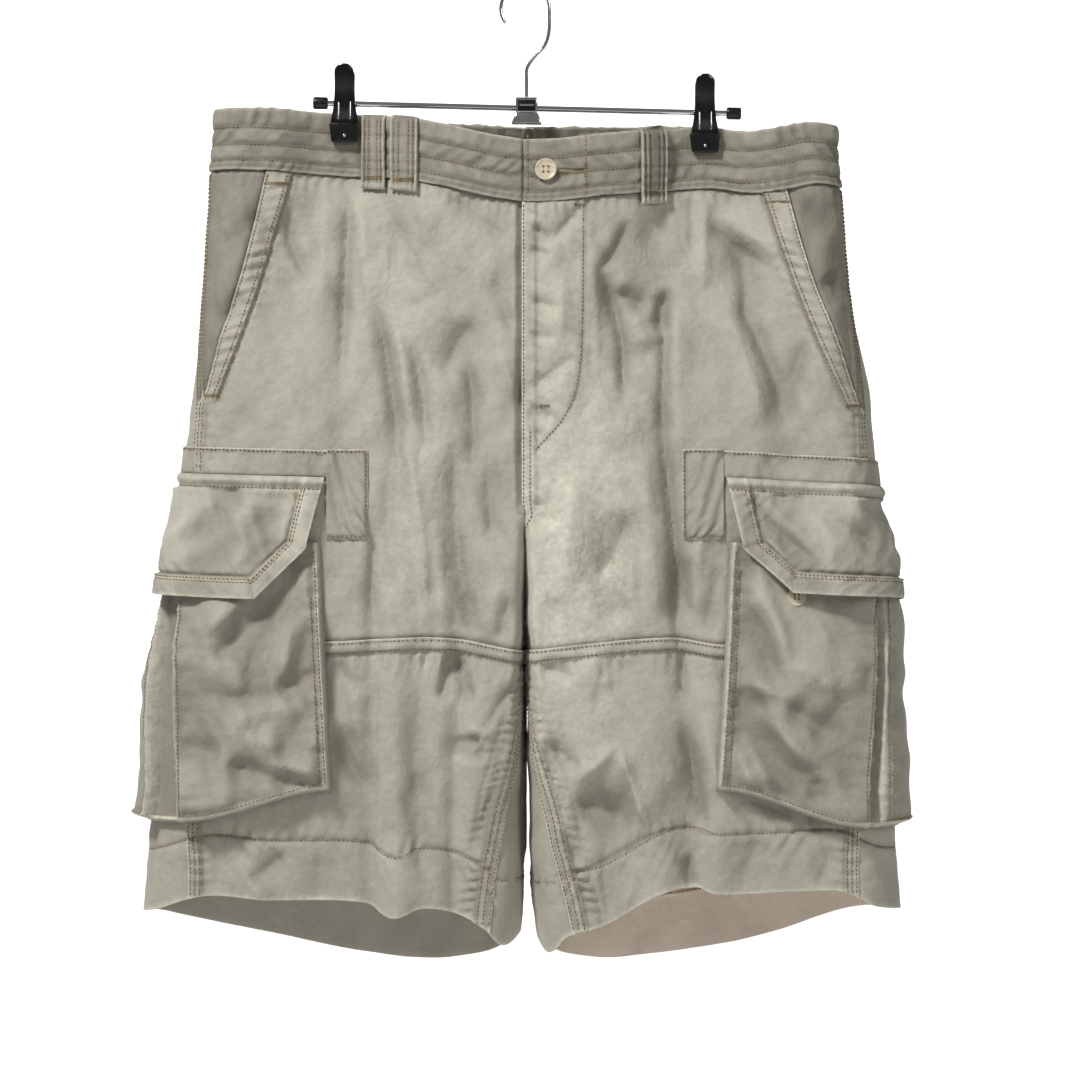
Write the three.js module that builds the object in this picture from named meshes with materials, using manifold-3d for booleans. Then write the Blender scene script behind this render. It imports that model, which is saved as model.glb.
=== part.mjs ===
// Cargo shorts hung by the waistband from a two-clip hanger.
// Millimetres, +Z up, +Y to the back. The origin is the inside top of the hook, where a rail carries it.
// "right" and "left" are the wearer's: the wearer's right is at -X.

import * as THREE from "three";
import { mergeVertices } from "three/addons/utils/BufferGeometryUtils.js";
import Module from "manifold-3d";

// Driving sizes
const panelWall = 1.6; // one ply of cotton twill with its seam allowance
const hemWall = 2.4; // turned-up hem
const hemDepth = 44;
const bandWall = 2.8; // folded waistband
const bandDepth = 46;
const bandStand = 1.2; // how far the waistband stands proud of the panels
const patchWall = 1.4; // pieces sewn flat on a panel
const patchLift = 1; // air under a piece that lies on a panel
const seamGap = 0.7; // between pieces sewn edge to edge
const turnGap = 1.1; // the same at the waist and down a leg, where the seam curves
const lapDepth = 9; // width of the lapped seam across the thigh
const crotchTop = -384; // where the rise curves begin to run back between the legs
const crotchPoint = -438;
const pinchDepth = 2.6; // from the middle plane to the cloth's face under a clip
const middleWidth = { from: 40, to: 190 }; // over which the depth goes from centre to side

// Where each clip holds the waistband, and the height of its pads' lower edge
const clips = [
  { name: "right", x: -133.6, foot: -116.3 },
  { name: "left", x: 133, foot: -123.8 },
];

// Widths from the middle and depths from the side plane, at each height
const body = [
  { z: -86, right: 228.5, left: 229.5, gapRight: 0.2, gapLeft: 0.2, front: 26, frontSide: 13, back: 16, backSide: 13, round: 15, inner: 8 },
  { z: -140, right: 232.5, left: 232, gapRight: 0.2, gapLeft: 0.2, front: 29, frontSide: 16, back: 21, backSide: 16, round: 18, inner: 8 },
  { z: -235, right: 239.5, left: 241.5, gapRight: 0.2, gapLeft: 0.2, front: 35, frontSide: 27, back: 34, backSide: 27, round: 26, inner: 8 },
  { z: -323, right: 248.5, left: 256, gapRight: 0.2, gapLeft: 0.2, front: 39, frontSide: 34, back: 42, backSide: 35, round: 32, inner: 8 },
  { z: -402, right: 257, left: 263, gapRight: 0.3, gapLeft: 0.3, front: 41, frontSide: 38, back: 45, backSide: 39, round: 35, inner: 8 },
  { z: -485, right: 265, left: 267.5, gapRight: 3, gapLeft: 2, front: 42, frontSide: 40, back: 46, backSide: 41, round: 36, inner: 9 },
  { z: -550, right: 270, left: 269.5, gapRight: 1.2, gapLeft: 1.5, front: 42, frontSide: 41, back: 47, backSide: 42, round: 36, inner: 12 },
  { z: -615, right: 275, left: 272, gapRight: 1.2, gapLeft: 3.5, front: 42, frontSide: 41, back: 49, backSide: 43, round: 36, inner: 16 },
  { z: -684, right: 281, left: 279, gapRight: 4.5, gapLeft: 9, front: 42, frontSide: 38, back: 52, backSide: 43, round: 34, inner: 20 },
  { z: -730, right: 282, left: 280, gapRight: 8, gapLeft: 17, front: 42, frontSide: 38, back: 53, backSide: 43, round: 34, inner: 22 },
];

// How strongly the clips pinch front and back together, and how wide that spreads, at each height
const pinch = [
  { z: -86, share: 1, spread: 38 },
  { z: -118, share: 1, spread: 38 },
  { z: -140, share: 0.94, spread: 40 },
  { z: -180, share: 0.7, spread: 46 },
  { z: -230, share: 0.36, spread: 58 },
  { z: -290, share: 0.1, spread: 80 },
  { z: -335, share: 0, spread: 90 },
];

// Height of each edge and seam across the width, wearer's right to left
const waistFront = [
  { x: -232, z: -91.5 }, { x: -193, z: -91.3 }, { x: -134, z: -95 }, { x: -91, z: -98 }, { x: -62, z: -103.7 },
  { x: 0, z: -116 }, { x: 55, z: -111.7 }, { x: 99, z: -107.3 }, { x: 133, z: -104.4 }, { x: 164, z: -108 },
  { x: 186, z: -105.9 }, { x: 208, z: -101.8 }, { x: 232, z: -103.7 },
];
const waistBack = [
  { x: -232, z: -91.5 }, { x: -134, z: -95 }, { x: -70, z: -99 }, { x: 0, z: -102.5 }, { x: 70, z: -102.5 },
  { x: 133, z: -104.4 }, { x: 164, z: -107 }, { x: 208, z: -101.8 }, { x: 232, z: -103.7 },
];
const thighSeam = [
  { x: -290, z: -485 }, { x: -145, z: -484.7 }, { x: -61, z: -481.8 }, { x: -3, z: -491.5 },
  { x: 3, z: -491 }, { x: 104, z: -481.8 }, { x: 145, z: -487 }, { x: 290, z: -487 },
];
const hemFront = {
  right: [
    { x: -281, z: -684 }, { x: -235, z: -671 }, { x: -188, z: -673.8 }, { x: -118, z: -675.5 }, { x: -96, z: -686.5 },
    { x: -78, z: -680 }, { x: -56, z: -682 }, { x: -30, z: -694 }, { x: -16, z: -707 }, { x: -4, z: -697 },
  ],
  left: [
    { x: 10, z: -697 }, { x: 18, z: -713 }, { x: 30, z: -701 }, { x: 61, z: -691 }, { x: 98, z: -669.5 }, { x: 124, z: -664.3 },
    { x: 141, z: -669.5 }, { x: 190, z: -668 }, { x: 231, z: -667.2 }, { x: 256, z: -678 }, { x: 279, z: -682 },
  ],
};
const hemBack = {
  right: [
    { x: -281, z: -684 }, { x: -255, z: -692 }, { x: -179, z: -707.5 }, { x: -91, z: -724 }, { x: -40, z: -722 }, { x: -18, z: -715 }, { x: -4, z: -697 },
  ],
  left: [
    { x: 10, z: -697 }, { x: 22, z: -717 }, { x: 49, z: -724 }, { x: 84, z: -722.7 }, { x: 125, z: -717.6 }, { x: 187, z: -704 }, { x: 240, z: -687 }, { x: 279, z: -682 },
  ],
};

// How far the seams have swung to the front of the leg's edges, at each height
const seamSwing = [
  { z: -142, side: 0.5, inseam: 0 },
  { z: -212, side: 1.5, inseam: 0 },
  { z: -270, side: 4, inseam: 0 },
  { z: -308, side: 8, inseam: 0 },
  { z: -400, side: 15, inseam: 0 },
  { z: -450, side: 20, inseam: 2 },
  { z: -495, side: 25, inseam: 13 },
  { z: -530, side: 28, inseam: 28 },
  { z: -567, side: 30, inseam: 40 },
  { z: -615, side: 32, inseam: 52 },
  { z: -650, side: 37, inseam: 58 },
  { z: -730, side: 42, inseam: 60 },
];

// The slanted edge of each hand pocket, and the width of its facing band
const slant = [
  { z: -136, right: 190, left: 188.5, band: 20 },
  { z: -212, right: 207.8, left: 209.5, band: 16 },
  { z: -272, right: 227, left: 231.5, band: 15 },
  { z: -318, right: 240, left: 246.7, band: 11 },
];
const slantEnd = { right: -308, left: -316 };

// The largest folds: a ridge or, with a negative height, a trough along a line down the cloth
const folds = [
  { face: "front", x: -130, z: -150, toX: -135, toZ: -330, width: 9, height: -2.5 },
  { face: "front", x: -110, z: -420, toX: -112, toZ: -676, width: 7, height: -5 },
  { face: "front", x: -94, z: -470, toX: -93, toZ: -690, width: 12, height: 6 },
  { face: "front", x: -50, z: -500, toX: -52, toZ: -690, width: 8, height: -7 },
  { face: "front", x: -28, z: -540, toX: -30, toZ: -700, width: 12, height: 5 },
  { face: "front", x: 60, z: -230, toX: 48, toZ: -300, width: 12, height: -4 },
  { face: "front", x: 118, z: -445, toX: 126, toZ: -670, width: 13, height: -6 },
  { face: "front", x: 95, z: -600, toX: 105, toZ: -690, width: 18, height: 6 },
  { face: "front", x: 158, z: -190, toX: 190, toZ: -320, width: 12, height: -3 },
  { face: "back", x: -70, z: -200, toX: -85, toZ: -420, width: 18, height: -5 },
  { face: "back", x: 75, z: -200, toX: 95, toZ: -430, width: 18, height: -5 },
  { face: "back", x: -150, z: -430, toX: -140, toZ: -700, width: 16, height: -6 },
  { face: "back", x: -70, z: -500, toX: -60, toZ: -715, width: 16, height: -6 },
  { face: "back", x: 80, z: -480, toX: 70, toZ: -715, width: 16, height: -6 },
  { face: "back", x: 155, z: -430, toX: 160, toZ: -700, width: 16, height: -6 },
];
const foldFade = 45; // over which a fold dies out at its ends

// Cargo pockets, by side: fullness of the bag and flap, the box pleat down its middle, the flap's
// length, how it tips for each mm towards the back, and the height of the bag's buttons
const cargo = {
  right: { bag: 16, flap: 14.5, pleat: 21, mouthAtPleat: -463, bottomAtPleat: -617, drop: 90, tip: 0.03, button: -443 },
  left: { bag: 13, flap: 15.4, pleat: 7, mouthAtPleat: -432, bottomAtPleat: -621, drop: 83, tip: -0.055, button: -449 },
};
const bagMouth = -412;
const bagMouthStand = 6;
const bagEdgeShare = 0.8; // the bag stands less proud at its edges than at its pleat
const bagSwell = 100; // height over which the bag fills out below its mouth
const bagBottom = -594;
const bagFrontX = { top: 150, bottom: 140.5 };
const bagBack = -76;
const pleatAt = { top: 31, bottom: 49 };
const pleatFloor = 4.6; // how far the pleat's underlay stands off the leg
const gusset = 6; // width over which the bag falls to the leg
const bagWall = 1.6;
const bagFoot = 3.2;
const flapTop = -364.5;
const flapFrontX = { top: 147.2, slope: -0.24 }; // it leans outwards as it falls
const flapBack = -80;
const flapCorner = { side: 53, reach: 30 }; // straight part of its short edge, and length of the mitre
const flapWall = 1.6;
const flapBorder = 15;
const stripWidth = 20;
const tab = { inner: 114.6, outer: 145.4, top: -343.5, bottom: -410 };

// Belt loops
const loopWidth = 19.5;
const loops = [
  { name: "belt_loop_front_right_outer", side: "right", face: "front", x: 111 },
  { name: "belt_loop_front_right_inner", side: "right", face: "front", x: 87.6 },
  { name: "belt_loop_front_left", side: "left", face: "front", x: 93.5 },
  { name: "belt_loop_back_right", side: "right", face: "back", x: 92 },
  { name: "belt_loop_back_middle", side: "left", face: "back", x: 10.4 },
  { name: "belt_loop_back_left", side: "left", face: "back", x: 94 },
];

// Fly: the width of its facing from the centre edge, down to the end of its J
const fly = [
  { z: -163.5, width: 43.5 },
  { z: -260, width: 42 },
  { z: -300, width: 37.5 },
  { z: -322, width: 28 },
  { z: -338, width: 14 },
  { z: -349, width: 4 },
];
const flyLap = 2.5;

// Buttons
const waistButton = { x: 15.3, z: -138.7, radius: 8, thickness: 3.2, holeRadius: 0.9, holeSpread: 1.9 };
const pocketButton = { radius: 7, thickness: 1.8, holeRadius: 0.8, holeSpread: 1.6, fromEnd: 50 };

// Hanger
const wire = 1.4;
const hookRadius = 18;
const stem = { x: 1.1, end: -82, bend: -60, shoulder: -36 };
const rod = { fromX: -150, fromZ: -86.6, toX: 153, toZ: -94.2, radius: 2.2 };
const bracket = { width: 16.4, top: -82.4, bottom: -93.6, depth: 9, wall: 1.4 };
const skirt = { top: -93.6, bottom: -102.2, topWidth: 16.4, bottomWidth: 23, topDepth: 9, bottomDepth: 12 };
const lever = { wall: 1.4, fit: 0.3 };
const pad = { width: 22.9, height: 14.5, thickness: 4.6, corner: 2.2 };

const sideNames = ["right", "left"];
const signOf = (side) => (side === "right" ? -1 : 1);
const lerp = THREE.MathUtils.lerp;
const clamp = THREE.MathUtils.clamp;
const smoothstep = (t) => THREE.MathUtils.smoothstep(t, 0, 1);

// A smooth curve through a table's rows, read at one value of its key column
function curveAt(rows, key, column, at) {
  const rising = rows[1][key] > rows[0][key];
  const last = rows.length - 1;
  let k = 0;
  while (k < last - 1 && (rising ? at > rows[k + 1][key] : at < rows[k + 1][key])) k += 1;
  const span = rows[k + 1][key] - rows[k][key];
  const t = clamp((at - rows[k][key]) / span, 0, 1);
  const slope = (i) => {
    const a = Math.max(i - 1, 0);
    const b = Math.min(i + 1, last);
    return ((rows[b][column] - rows[a][column]) / (rows[b][key] - rows[a][key])) * span;
  };
  const h = t * t * (3 - 2 * t);
  const bend = t * (1 - t) * ((1 - t) * slope(k) - t * slope(k + 1));
  return lerp(rows[k][column], rows[k + 1][column], h) + bend;
}

// How much the clips hold front and back together at a place
function pinchAt(x, z) {
  if (z < pinch[pinch.length - 1].z) return 0;
  const share = curveAt(pinch, "z", "share", z);
  const spread = curveAt(pinch, "z", "spread", z);
  const near = clips.map((clip) => Math.exp(-(((x - clip.x) / spread) ** 4)));
  return clamp(share * Math.max(...near), 0, 1);
}

// How far the folds push the cloth outwards at a place on one face
function foldAt(face, x, z) {
  let push = 0;
  for (const fold of folds) {
    if (fold.face !== face) continue;
    const along = (z - fold.z) / (fold.toZ - fold.z);
    const length = Math.abs(fold.toZ - fold.z);
    const inside = Math.min(along, 1.15 - along) * length;
    if (inside < -foldFade) continue;
    const centre = lerp(fold.x, fold.toX, along);
    const fade = smoothstep((inside + foldFade) / foldFade);
    push += fold.height * fade * Math.exp(-(((x - centre) / fold.width) ** 2));
  }
  return push;
}

// The cloth's cross-section on one side at one height, from the inner front edge round the side to the inner back edge
const ringSteps = { inner: 8, flat: 26, round: 10 };
const ringStore = new Map();
function ringAt(side, z) {
  const key = side + z.toFixed(2);
  if (ringStore.has(key)) return ringStore.get(key);
  const sign = signOf(side);
  const read = (column) => curveAt(body, "z", column, z);
  const outer = read(side);
  const inner = read(side === "right" ? "gapRight" : "gapLeft");
  const round = read("round");
  const bend = read("inner");
  const closed = smoothstep((crotchTop - z) / (crotchTop - crotchPoint));
  const half = (face) => {
    const middle = read(face);
    const flank = read(face + "Side");
    const depthAt = (x, share) => {
      const full = lerp(middle, flank, smoothstep((x - middleWidth.from) / (middleWidth.to - middleWidth.from)));
      return lerp(full, pinchDepth, pinchAt(sign * x, z)) + foldAt(face, sign * x, z) * share;
    };
    const points = [];
    const put = (x, share) => points.push([x, depthAt(x, share) * share]);
    for (let i = 0; i < ringSteps.inner; i += 1) {
      const turn = ((Math.PI / 2) * i) / ringSteps.inner;
      put(inner + bend * (1 - Math.cos(turn)), lerp(1, Math.sin(turn), closed));
    }
    for (let i = 0; i < ringSteps.flat; i += 1) {
      put(lerp(inner + bend, outer - round, i / ringSteps.flat), 1);
    }
    for (let i = 0; i <= ringSteps.round; i += 1) {
      const turn = ((Math.PI / 2) * i) / ringSteps.round;
      put(outer - round + round * Math.sin(turn), Math.cos(turn));
    }
    return points.map(([x, depth]) => [sign * x, face === "front" ? -depth : depth]);
  };
  const front = half("front");
  const back = half("back").reverse().slice(1);
  const points = [...front, ...back];
  const along = [0];
  for (let i = 1; i < points.length; i += 1) {
    along.push(along[i - 1] + Math.hypot(points[i][0] - points[i - 1][0], points[i][1] - points[i - 1][1]));
  }
  const frontLength = along[front.length - 1];
  const ring = { points, along, frontLength, backLength: along[along.length - 1] - frontLength, closed };
  ringStore.set(key, ring);
  return ring;
}

// The point on a side's cross-section at an arc distance from its outermost point: positive to the front
function ringPoint(side, z, arc) {
  const ring = ringAt(side, z);
  const { points, along } = ring;
  const total = ring.frontLength + ring.backLength;
  let at = ring.frontLength - arc;
  if (ring.closed > 0.999) at = ((at % total) + total) % total;
  let k = 1;
  while (k < points.length - 1 && at > along[k]) k += 1;
  const t = (at - along[k - 1]) / (along[k] - along[k - 1]);
  return {
    x: lerp(points[k - 1][0], points[k][0], t),
    y: lerp(points[k - 1][1], points[k][1], t),
    face: at <= ring.frontLength ? "front" : "back",
  };
}

// The cloth's outer face at a height and arc, lifted along its outward normal
function clothPoint(side, z, arc, lift) {
  const step = 2;
  const place = (height, where) => {
    const p = ringPoint(side, height, where);
    return new THREE.Vector3(p.x, p.y, height);
  };
  const here = place(z, arc);
  const across = place(z, arc + step).sub(place(z, arc - step));
  const up = place(z + step, arc).sub(place(z - step, arc));
  const normal = across.cross(up).multiplyScalar(-signOf(side)).normalize();
  return { point: here.addScaledVector(normal, lift), normal };
}

// The arc distance at which a side's front or back face has a given distance from the middle
function arcOfX(side, z, x, face = "front") {
  const ring = ringAt(side, z);
  let low = 0;
  let high = face === "front" ? ring.frontLength : -ring.backLength;
  for (let i = 0; i < 24; i += 1) {
    const middle = (low + high) / 2;
    if (Math.abs(ringPoint(side, z, middle).x) > x) low = middle;
    else high = middle;
  }
  return (low + high) / 2;
}

const sideSeamArc = (side, z) => {
  const edge = curveAt(body, "z", side, z);
  return arcOfX(side, z, edge - Math.max(curveAt(seamSwing, "z", "side", z), 0));
};
const inseamShift = (z) => Math.max(curveAt(seamSwing, "z", "inseam", z), 0);
const slantArc = (side, z) => arcOfX(side, z, curveAt(slant, "z", side, z));

// The height of an edge line at an arc: the line gives its tables for the front and back
function lineHeight(line, side, arcAt) {
  let z = line.start;
  for (let i = 0; i < 5; i += 1) {
    const p = ringPoint(side, z, arcAt(z));
    z = curveAt(line[p.face][side] ?? line[p.face], "x", "z", p.x) + line.offset;
  }
  return z;
}
const below = (line, offset) => ({ ...line, offset });
const waistLine = { front: waistFront, back: waistBack, start: -100, offset: 0 };
const thighLine = { front: thighSeam, back: thighSeam, start: -485, offset: 0 };
const hemLine = { front: hemFront, back: hemBack, start: -690, offset: 0 };

// A closed wall between a grid of outer points and the same points moved inwards, along the grid's own
// normals or, on a piece with neighbours at its seams, along the cloth's
function wallGeometry(grid, hints, thickness, along = "grid") {
  const rows = grid.length;
  const columns = grid[0].length;
  const outer = [];
  const inner = [];
  const clampIndex = (value, top) => clamp(value, 0, top - 1);
  for (let i = 0; i < rows; i += 1) {
    for (let j = 0; j < columns; j += 1) {
      const across = grid[i][clampIndex(j + 1, columns)].clone().sub(grid[i][clampIndex(j - 1, columns)]);
      const down = grid[clampIndex(i + 1, rows)][j].clone().sub(grid[clampIndex(i - 1, rows)][j]);
      const normal = along === "cloth" ? hints[i][j].clone() : across.cross(down).normalize();
      if (normal.dot(hints[i][j]) < 0) normal.negate();
      const wall = typeof thickness === "function" ? thickness(i, j) : thickness;
      outer.push(grid[i][j]);
      inner.push(grid[i][j].clone().addScaledVector(normal, -wall));
    }
  }
  const corner = grid[1][1].clone().sub(grid[0][0]);
  const faceUp = grid[0][1].clone().sub(grid[0][0]).cross(corner).dot(hints[0][0]) > 0;
  const count = rows * columns;
  const index = [];
  const quad = (a, b, c, d) => (faceUp ? index.push(a, b, c, a, c, d) : index.push(a, c, b, a, d, c));
  const at = (i, j) => i * columns + j;
  for (let i = 0; i + 1 < rows; i += 1) {
    for (let j = 0; j + 1 < columns; j += 1) {
      quad(at(i, j), at(i, j + 1), at(i + 1, j + 1), at(i + 1, j));
      quad(count + at(i, j), count + at(i + 1, j), count + at(i + 1, j + 1), count + at(i, j + 1));
    }
  }
  for (let j = 0; j + 1 < columns; j += 1) {
    quad(at(0, j), count + at(0, j), count + at(0, j + 1), at(0, j + 1));
    quad(at(rows - 1, j), at(rows - 1, j + 1), count + at(rows - 1, j + 1), count + at(rows - 1, j));
  }
  for (let i = 0; i + 1 < rows; i += 1) {
    quad(at(i, 0), at(i + 1, 0), count + at(i + 1, 0), count + at(i, 0));
    quad(at(i, columns - 1), count + at(i, columns - 1), count + at(i + 1, columns - 1), at(i + 1, columns - 1));
  }
  const geometry = new THREE.BufferGeometry();
  const numbers = [...outer, ...inner].flatMap((p) => [p.x, p.y, p.z]);
  geometry.setAttribute("position", new THREE.Float32BufferAttribute(numbers, 3));
  geometry.setIndex(index);
  return geometry;
}

// A cloth piece from a grid of places: each place has a height, an arc and a lift off the body's face
function clothGeometry(side, rows, columns, placeAt, thickness, along) {
  const grid = [];
  const hints = [];
  for (let i = 0; i <= rows; i += 1) {
    const made = [];
    for (let j = 0; j <= columns; j += 1) {
      const { z, arc, lift } = placeAt(i, j);
      made.push(clothPoint(side, z, arc, lift));
    }
    grid.push(made.map((m) => m.point));
    hints.push(made.map((m) => m.normal));
  }
  return wallGeometry(grid, hints, thickness, along);
}

// Shares of a panel's width for its columns, closer together towards both of its seams
const denser = (share) => lerp(share, (1 - Math.cos(Math.PI * share)) / 2, 0.6);

const model = new THREE.Group();
const material = (color, roughness, metalness = 0) => new THREE.MeshStandardMaterial({ color, roughness, metalness });
const twill = material(0xa89f88, 0.95);
const twillDark = material(0x9c937c, 0.95);
const horn = material(0xcdbd9c, 0.4);
const chrome = material(0xc8cacc, 0.15, 1);
const blackMetal = material(0x17171a, 0.3, 0.6);
const rubber = material(0x0c0c0d, 0.7);

function add(name, geometry, finish) {
  const mesh = new THREE.Mesh(geometry, finish);
  mesh.name = name;
  model.add(mesh);
  return mesh;
}

// Leg panels
const upperRows = 17;
const upperColumns = 16;
function addFrontUpper(side) {
  const top = below(waistLine, -bandDepth - turnGap);
  const bottom = below(thighLine, seamGap);
  const arcFor = (share) => (z) => {
    const ring = ringAt(side, z);
    const innerArc = ring.frontLength - inseamShift(z) - turnGap / 2;
    const outerArc = Math.max(sideSeamArc(side, z) + turnGap / 2, z > slantEnd[side] - 8 ? slantArc(side, z) : -Infinity);
    return lerp(innerArc, outerArc, share);
  };
  const columns = Array.from({ length: upperColumns + 1 }, (_, j) => {
    const arcAt = arcFor(denser(j / upperColumns));
    return { arcAt, top: lineHeight(top, side, arcAt), bottom: lineHeight(bottom, side, arcAt) };
  });
  const place = (i, j) => {
    const z = lerp(columns[j].top, columns[j].bottom, i / upperRows);
    return { z, arc: columns[j].arcAt(z), lift: 0 };
  };
  add(`front_${side}_upper`, clothGeometry(side, upperRows, upperColumns, place, panelWall, "cloth"), twill);
}

const lowerColumns = 18;
function addFrontLower(side) {
  const top = below(thighLine, 0);
  const arcFor = (share) => (z) => {
    const innerArc = ringAt(side, z).frontLength - inseamShift(z) - turnGap / 2;
    return lerp(innerArc, sideSeamArc(side, z) + turnGap / 2, share);
  };
  const columns = Array.from({ length: lowerColumns + 1 }, (_, j) => {
    const arcAt = arcFor(denser(j / lowerColumns));
    return { arcAt, top: lineHeight(top, side, arcAt), bottom: lineHeight(hemLine, side, arcAt) };
  });
  // the lapped seam stands a little proud, then the panel, then the turned-up hem
  const steps = [
    { drop: 0, lift: 0.8 },
    { drop: lapDepth, lift: 0.8 },
    { drop: lapDepth + 2, lift: 0 },
  ];
  const openRows = 7;
  const rows = steps.length + openRows + 1;
  const place = (i, j) => {
    const { top: from, bottom: to, arcAt } = columns[j];
    let z = to;
    let lift = 0;
    if (i < steps.length) {
      z = from - steps[i].drop;
      lift = steps[i].lift;
    } else if (i < rows) {
      z = lerp(from - lapDepth - 2, to + hemDepth, (i - steps.length + 1) / (openRows + 1));
    }
    return { z, arc: arcAt(z), lift };
  };
  const wallOf = (i) => (i < 2 ? panelWall + 0.8 : i >= rows - 1 ? hemWall : panelWall);
  add(`front_${side}_lower`, clothGeometry(side, rows, lowerColumns, place, wallOf, "cloth"), twill);
}

const backRows = 21;
const backColumns = 20;
function addBack(side) {
  const top = below(waistLine, -bandDepth - turnGap);
  const arcFor = (share) => (z) => {
    const ring = ringAt(side, z);
    const from = sideSeamArc(side, z) - turnGap / 2;
    const to = -ring.backLength - inseamShift(z) + turnGap / 2;
    return lerp(from, to, share);
  };
  const columns = Array.from({ length: backColumns + 1 }, (_, j) => {
    const arcAt = arcFor(denser(j / backColumns));
    return { arcAt, top: lineHeight(top, side, arcAt), bottom: lineHeight(hemLine, side, arcAt) };
  });
  const place = (i, j) => {
    const z = lerp(columns[j].top, columns[j].bottom, i / backRows);
    return { z, arc: columns[j].arcAt(z), lift: 0 };
  };
  const wallOf = (i) => (i >= backRows - 2 ? hemWall : panelWall);
  add(`back_${side}`, clothGeometry(side, backRows, backColumns, place, wallOf, "cloth"), twill);
}

// The hip piece that shows beside the hand pocket's slanted edge, and runs on under it
const hipRows = 9;
function addHip(side) {
  const tuck = 10;
  const under = -(panelWall + patchLift);
  const top = below(waistLine, -bandDepth - turnGap);
  const stops = [
    { past: tuck, share: 0 },
    { past: 0, share: 0 },
    { past: 0, share: 0.4 },
    { past: 0, share: 0.75 },
    { past: 0, share: 1 },
  ];
  const arcFor = (stop) => (z) => lerp(slantArc(side, z), sideSeamArc(side, z) + turnGap / 2, stop.share) + stop.past;
  const columns = stops.map((stop) => ({ stop, arcAt: arcFor(stop), top: lineHeight(top, side, arcFor(stop)) }));
  const place = (i, j) => {
    const { stop, arcAt, top: from } = columns[j];
    const z = lerp(from, slantEnd[side] + 6, i / hipRows);
    return { z, arc: arcAt(z), lift: under * (1 - smoothstep(stop.share)) };
  };
  add(`hip_${side}`, clothGeometry(side, hipRows, stops.length - 1, place, panelWall, "cloth"), twillDark);
}

const bandRows = 12;
function addPocketBand(side) {
  const top = below(waistLine, -bandDepth - turnGap - 0.6);
  const from = lineHeight(top, side, (z) => slantArc(side, z) + 8);
  const place = (i, j) => {
    const z = lerp(from, slantEnd[side], i / bandRows);
    const width = curveAt(slant, "z", "band", z);
    return { z, arc: slantArc(side, z) + 0.4 + (width * j) / 2, lift: patchLift + patchWall };
  };
  add(`hand_pocket_band_${side}`, clothGeometry(side, bandRows, 2, place, patchWall), twillDark);
}

// Waistband: the left end laps over the right one at the fly
const waistColumns = 40;
const waistRows = 3;
function addWaistband(side) {
  const lap = side === "right" ? 16 : 0.4;
  const under = -(bandWall - bandStand) - 0.5;
  const arcFor = (j) => (z) => {
    const ring = ringAt(side, z);
    const ends = [lap, 0.5, -10];
    if (j < ends.length) return ring.frontLength + ends[j];
    const share = (j - ends.length + 1) / (waistColumns - ends.length + 1);
    return lerp(ring.frontLength - 10, -ring.backLength + seamGap / 2, share);
  };
  const columns = Array.from({ length: waistColumns + 1 }, (_, j) => ({ arcAt: arcFor(j), top: lineHeight(waistLine, side, arcFor(j)) }));
  const place = (i, j) => {
    const z = columns[j].top - (bandDepth * i) / waistRows;
    return { z, arc: columns[j].arcAt(z), lift: side === "right" && j < 2 ? under : bandStand };
  };
  const first = side === "right" ? 0 : 1;
  const shifted = (i, j) => place(i, j + first);
  add(`waistband_${side}`, clothGeometry(side, waistRows, waistColumns - first, shifted, bandWall, "cloth"), twillDark);
}

function addBeltLoop({ name, side, face, x }) {
  const rows = 7;
  const columns = 2;
  const place = (i, j) => {
    const across = x + loopWidth * (j / columns - 0.5);
    const arcAt = (z) => arcOfX(side, z, across, face);
    const top = lineHeight(below(waistLine, -0.6), side, arcAt);
    const drop = i / rows;
    const z = top - drop * (bandDepth + 9);
    const bow = 0.5 * Math.sin(Math.PI * drop);
    const lift = drop > 0.9 ? patchLift + 2.4 : bandStand + patchLift + 1.8 + bow;
    return { z, arc: arcAt(z), lift };
  };
  add(name, clothGeometry(side, rows, columns, place, 1.8), twillDark);
}

// The fly facing, sewn down in a J on the left front, its edge lapping the centre seam
function addFly() {
  const rows = 14;
  const columns = 3;
  const top = lineHeight(below(waistLine, -bandDepth - turnGap - 0.4), "left", (z) => ringAt("left", z).frontLength - 20);
  const last = fly[fly.length - 1].z;
  const place = (i, j) => {
    const z = lerp(top, last, i / rows);
    const edge = ringAt("left", z).frontLength + flyLap;
    const width = curveAt(fly, "z", "width", z) + flyLap;
    return { z, arc: edge - (width * j) / columns, lift: patchLift + patchWall };
  };
  add("fly_facing", clothGeometry("left", rows, columns, place, patchWall), twill);
}

// Cargo pocket: a bag with a box pleat over the side seam, a flap with a bound edge, and its stay patches
const drop = (from, to, z) => clamp((from - z) / (from - to), 0, 1);
const bagFrontArc = (side, z) => arcOfX(side, z, lerp(bagFrontX.top, bagFrontX.bottom, drop(bagMouth, bagBottom, z)));
const pleatArc = (z) => lerp(pleatAt.top, pleatAt.bottom, drop(bagMouth, bagBottom, z));

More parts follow.
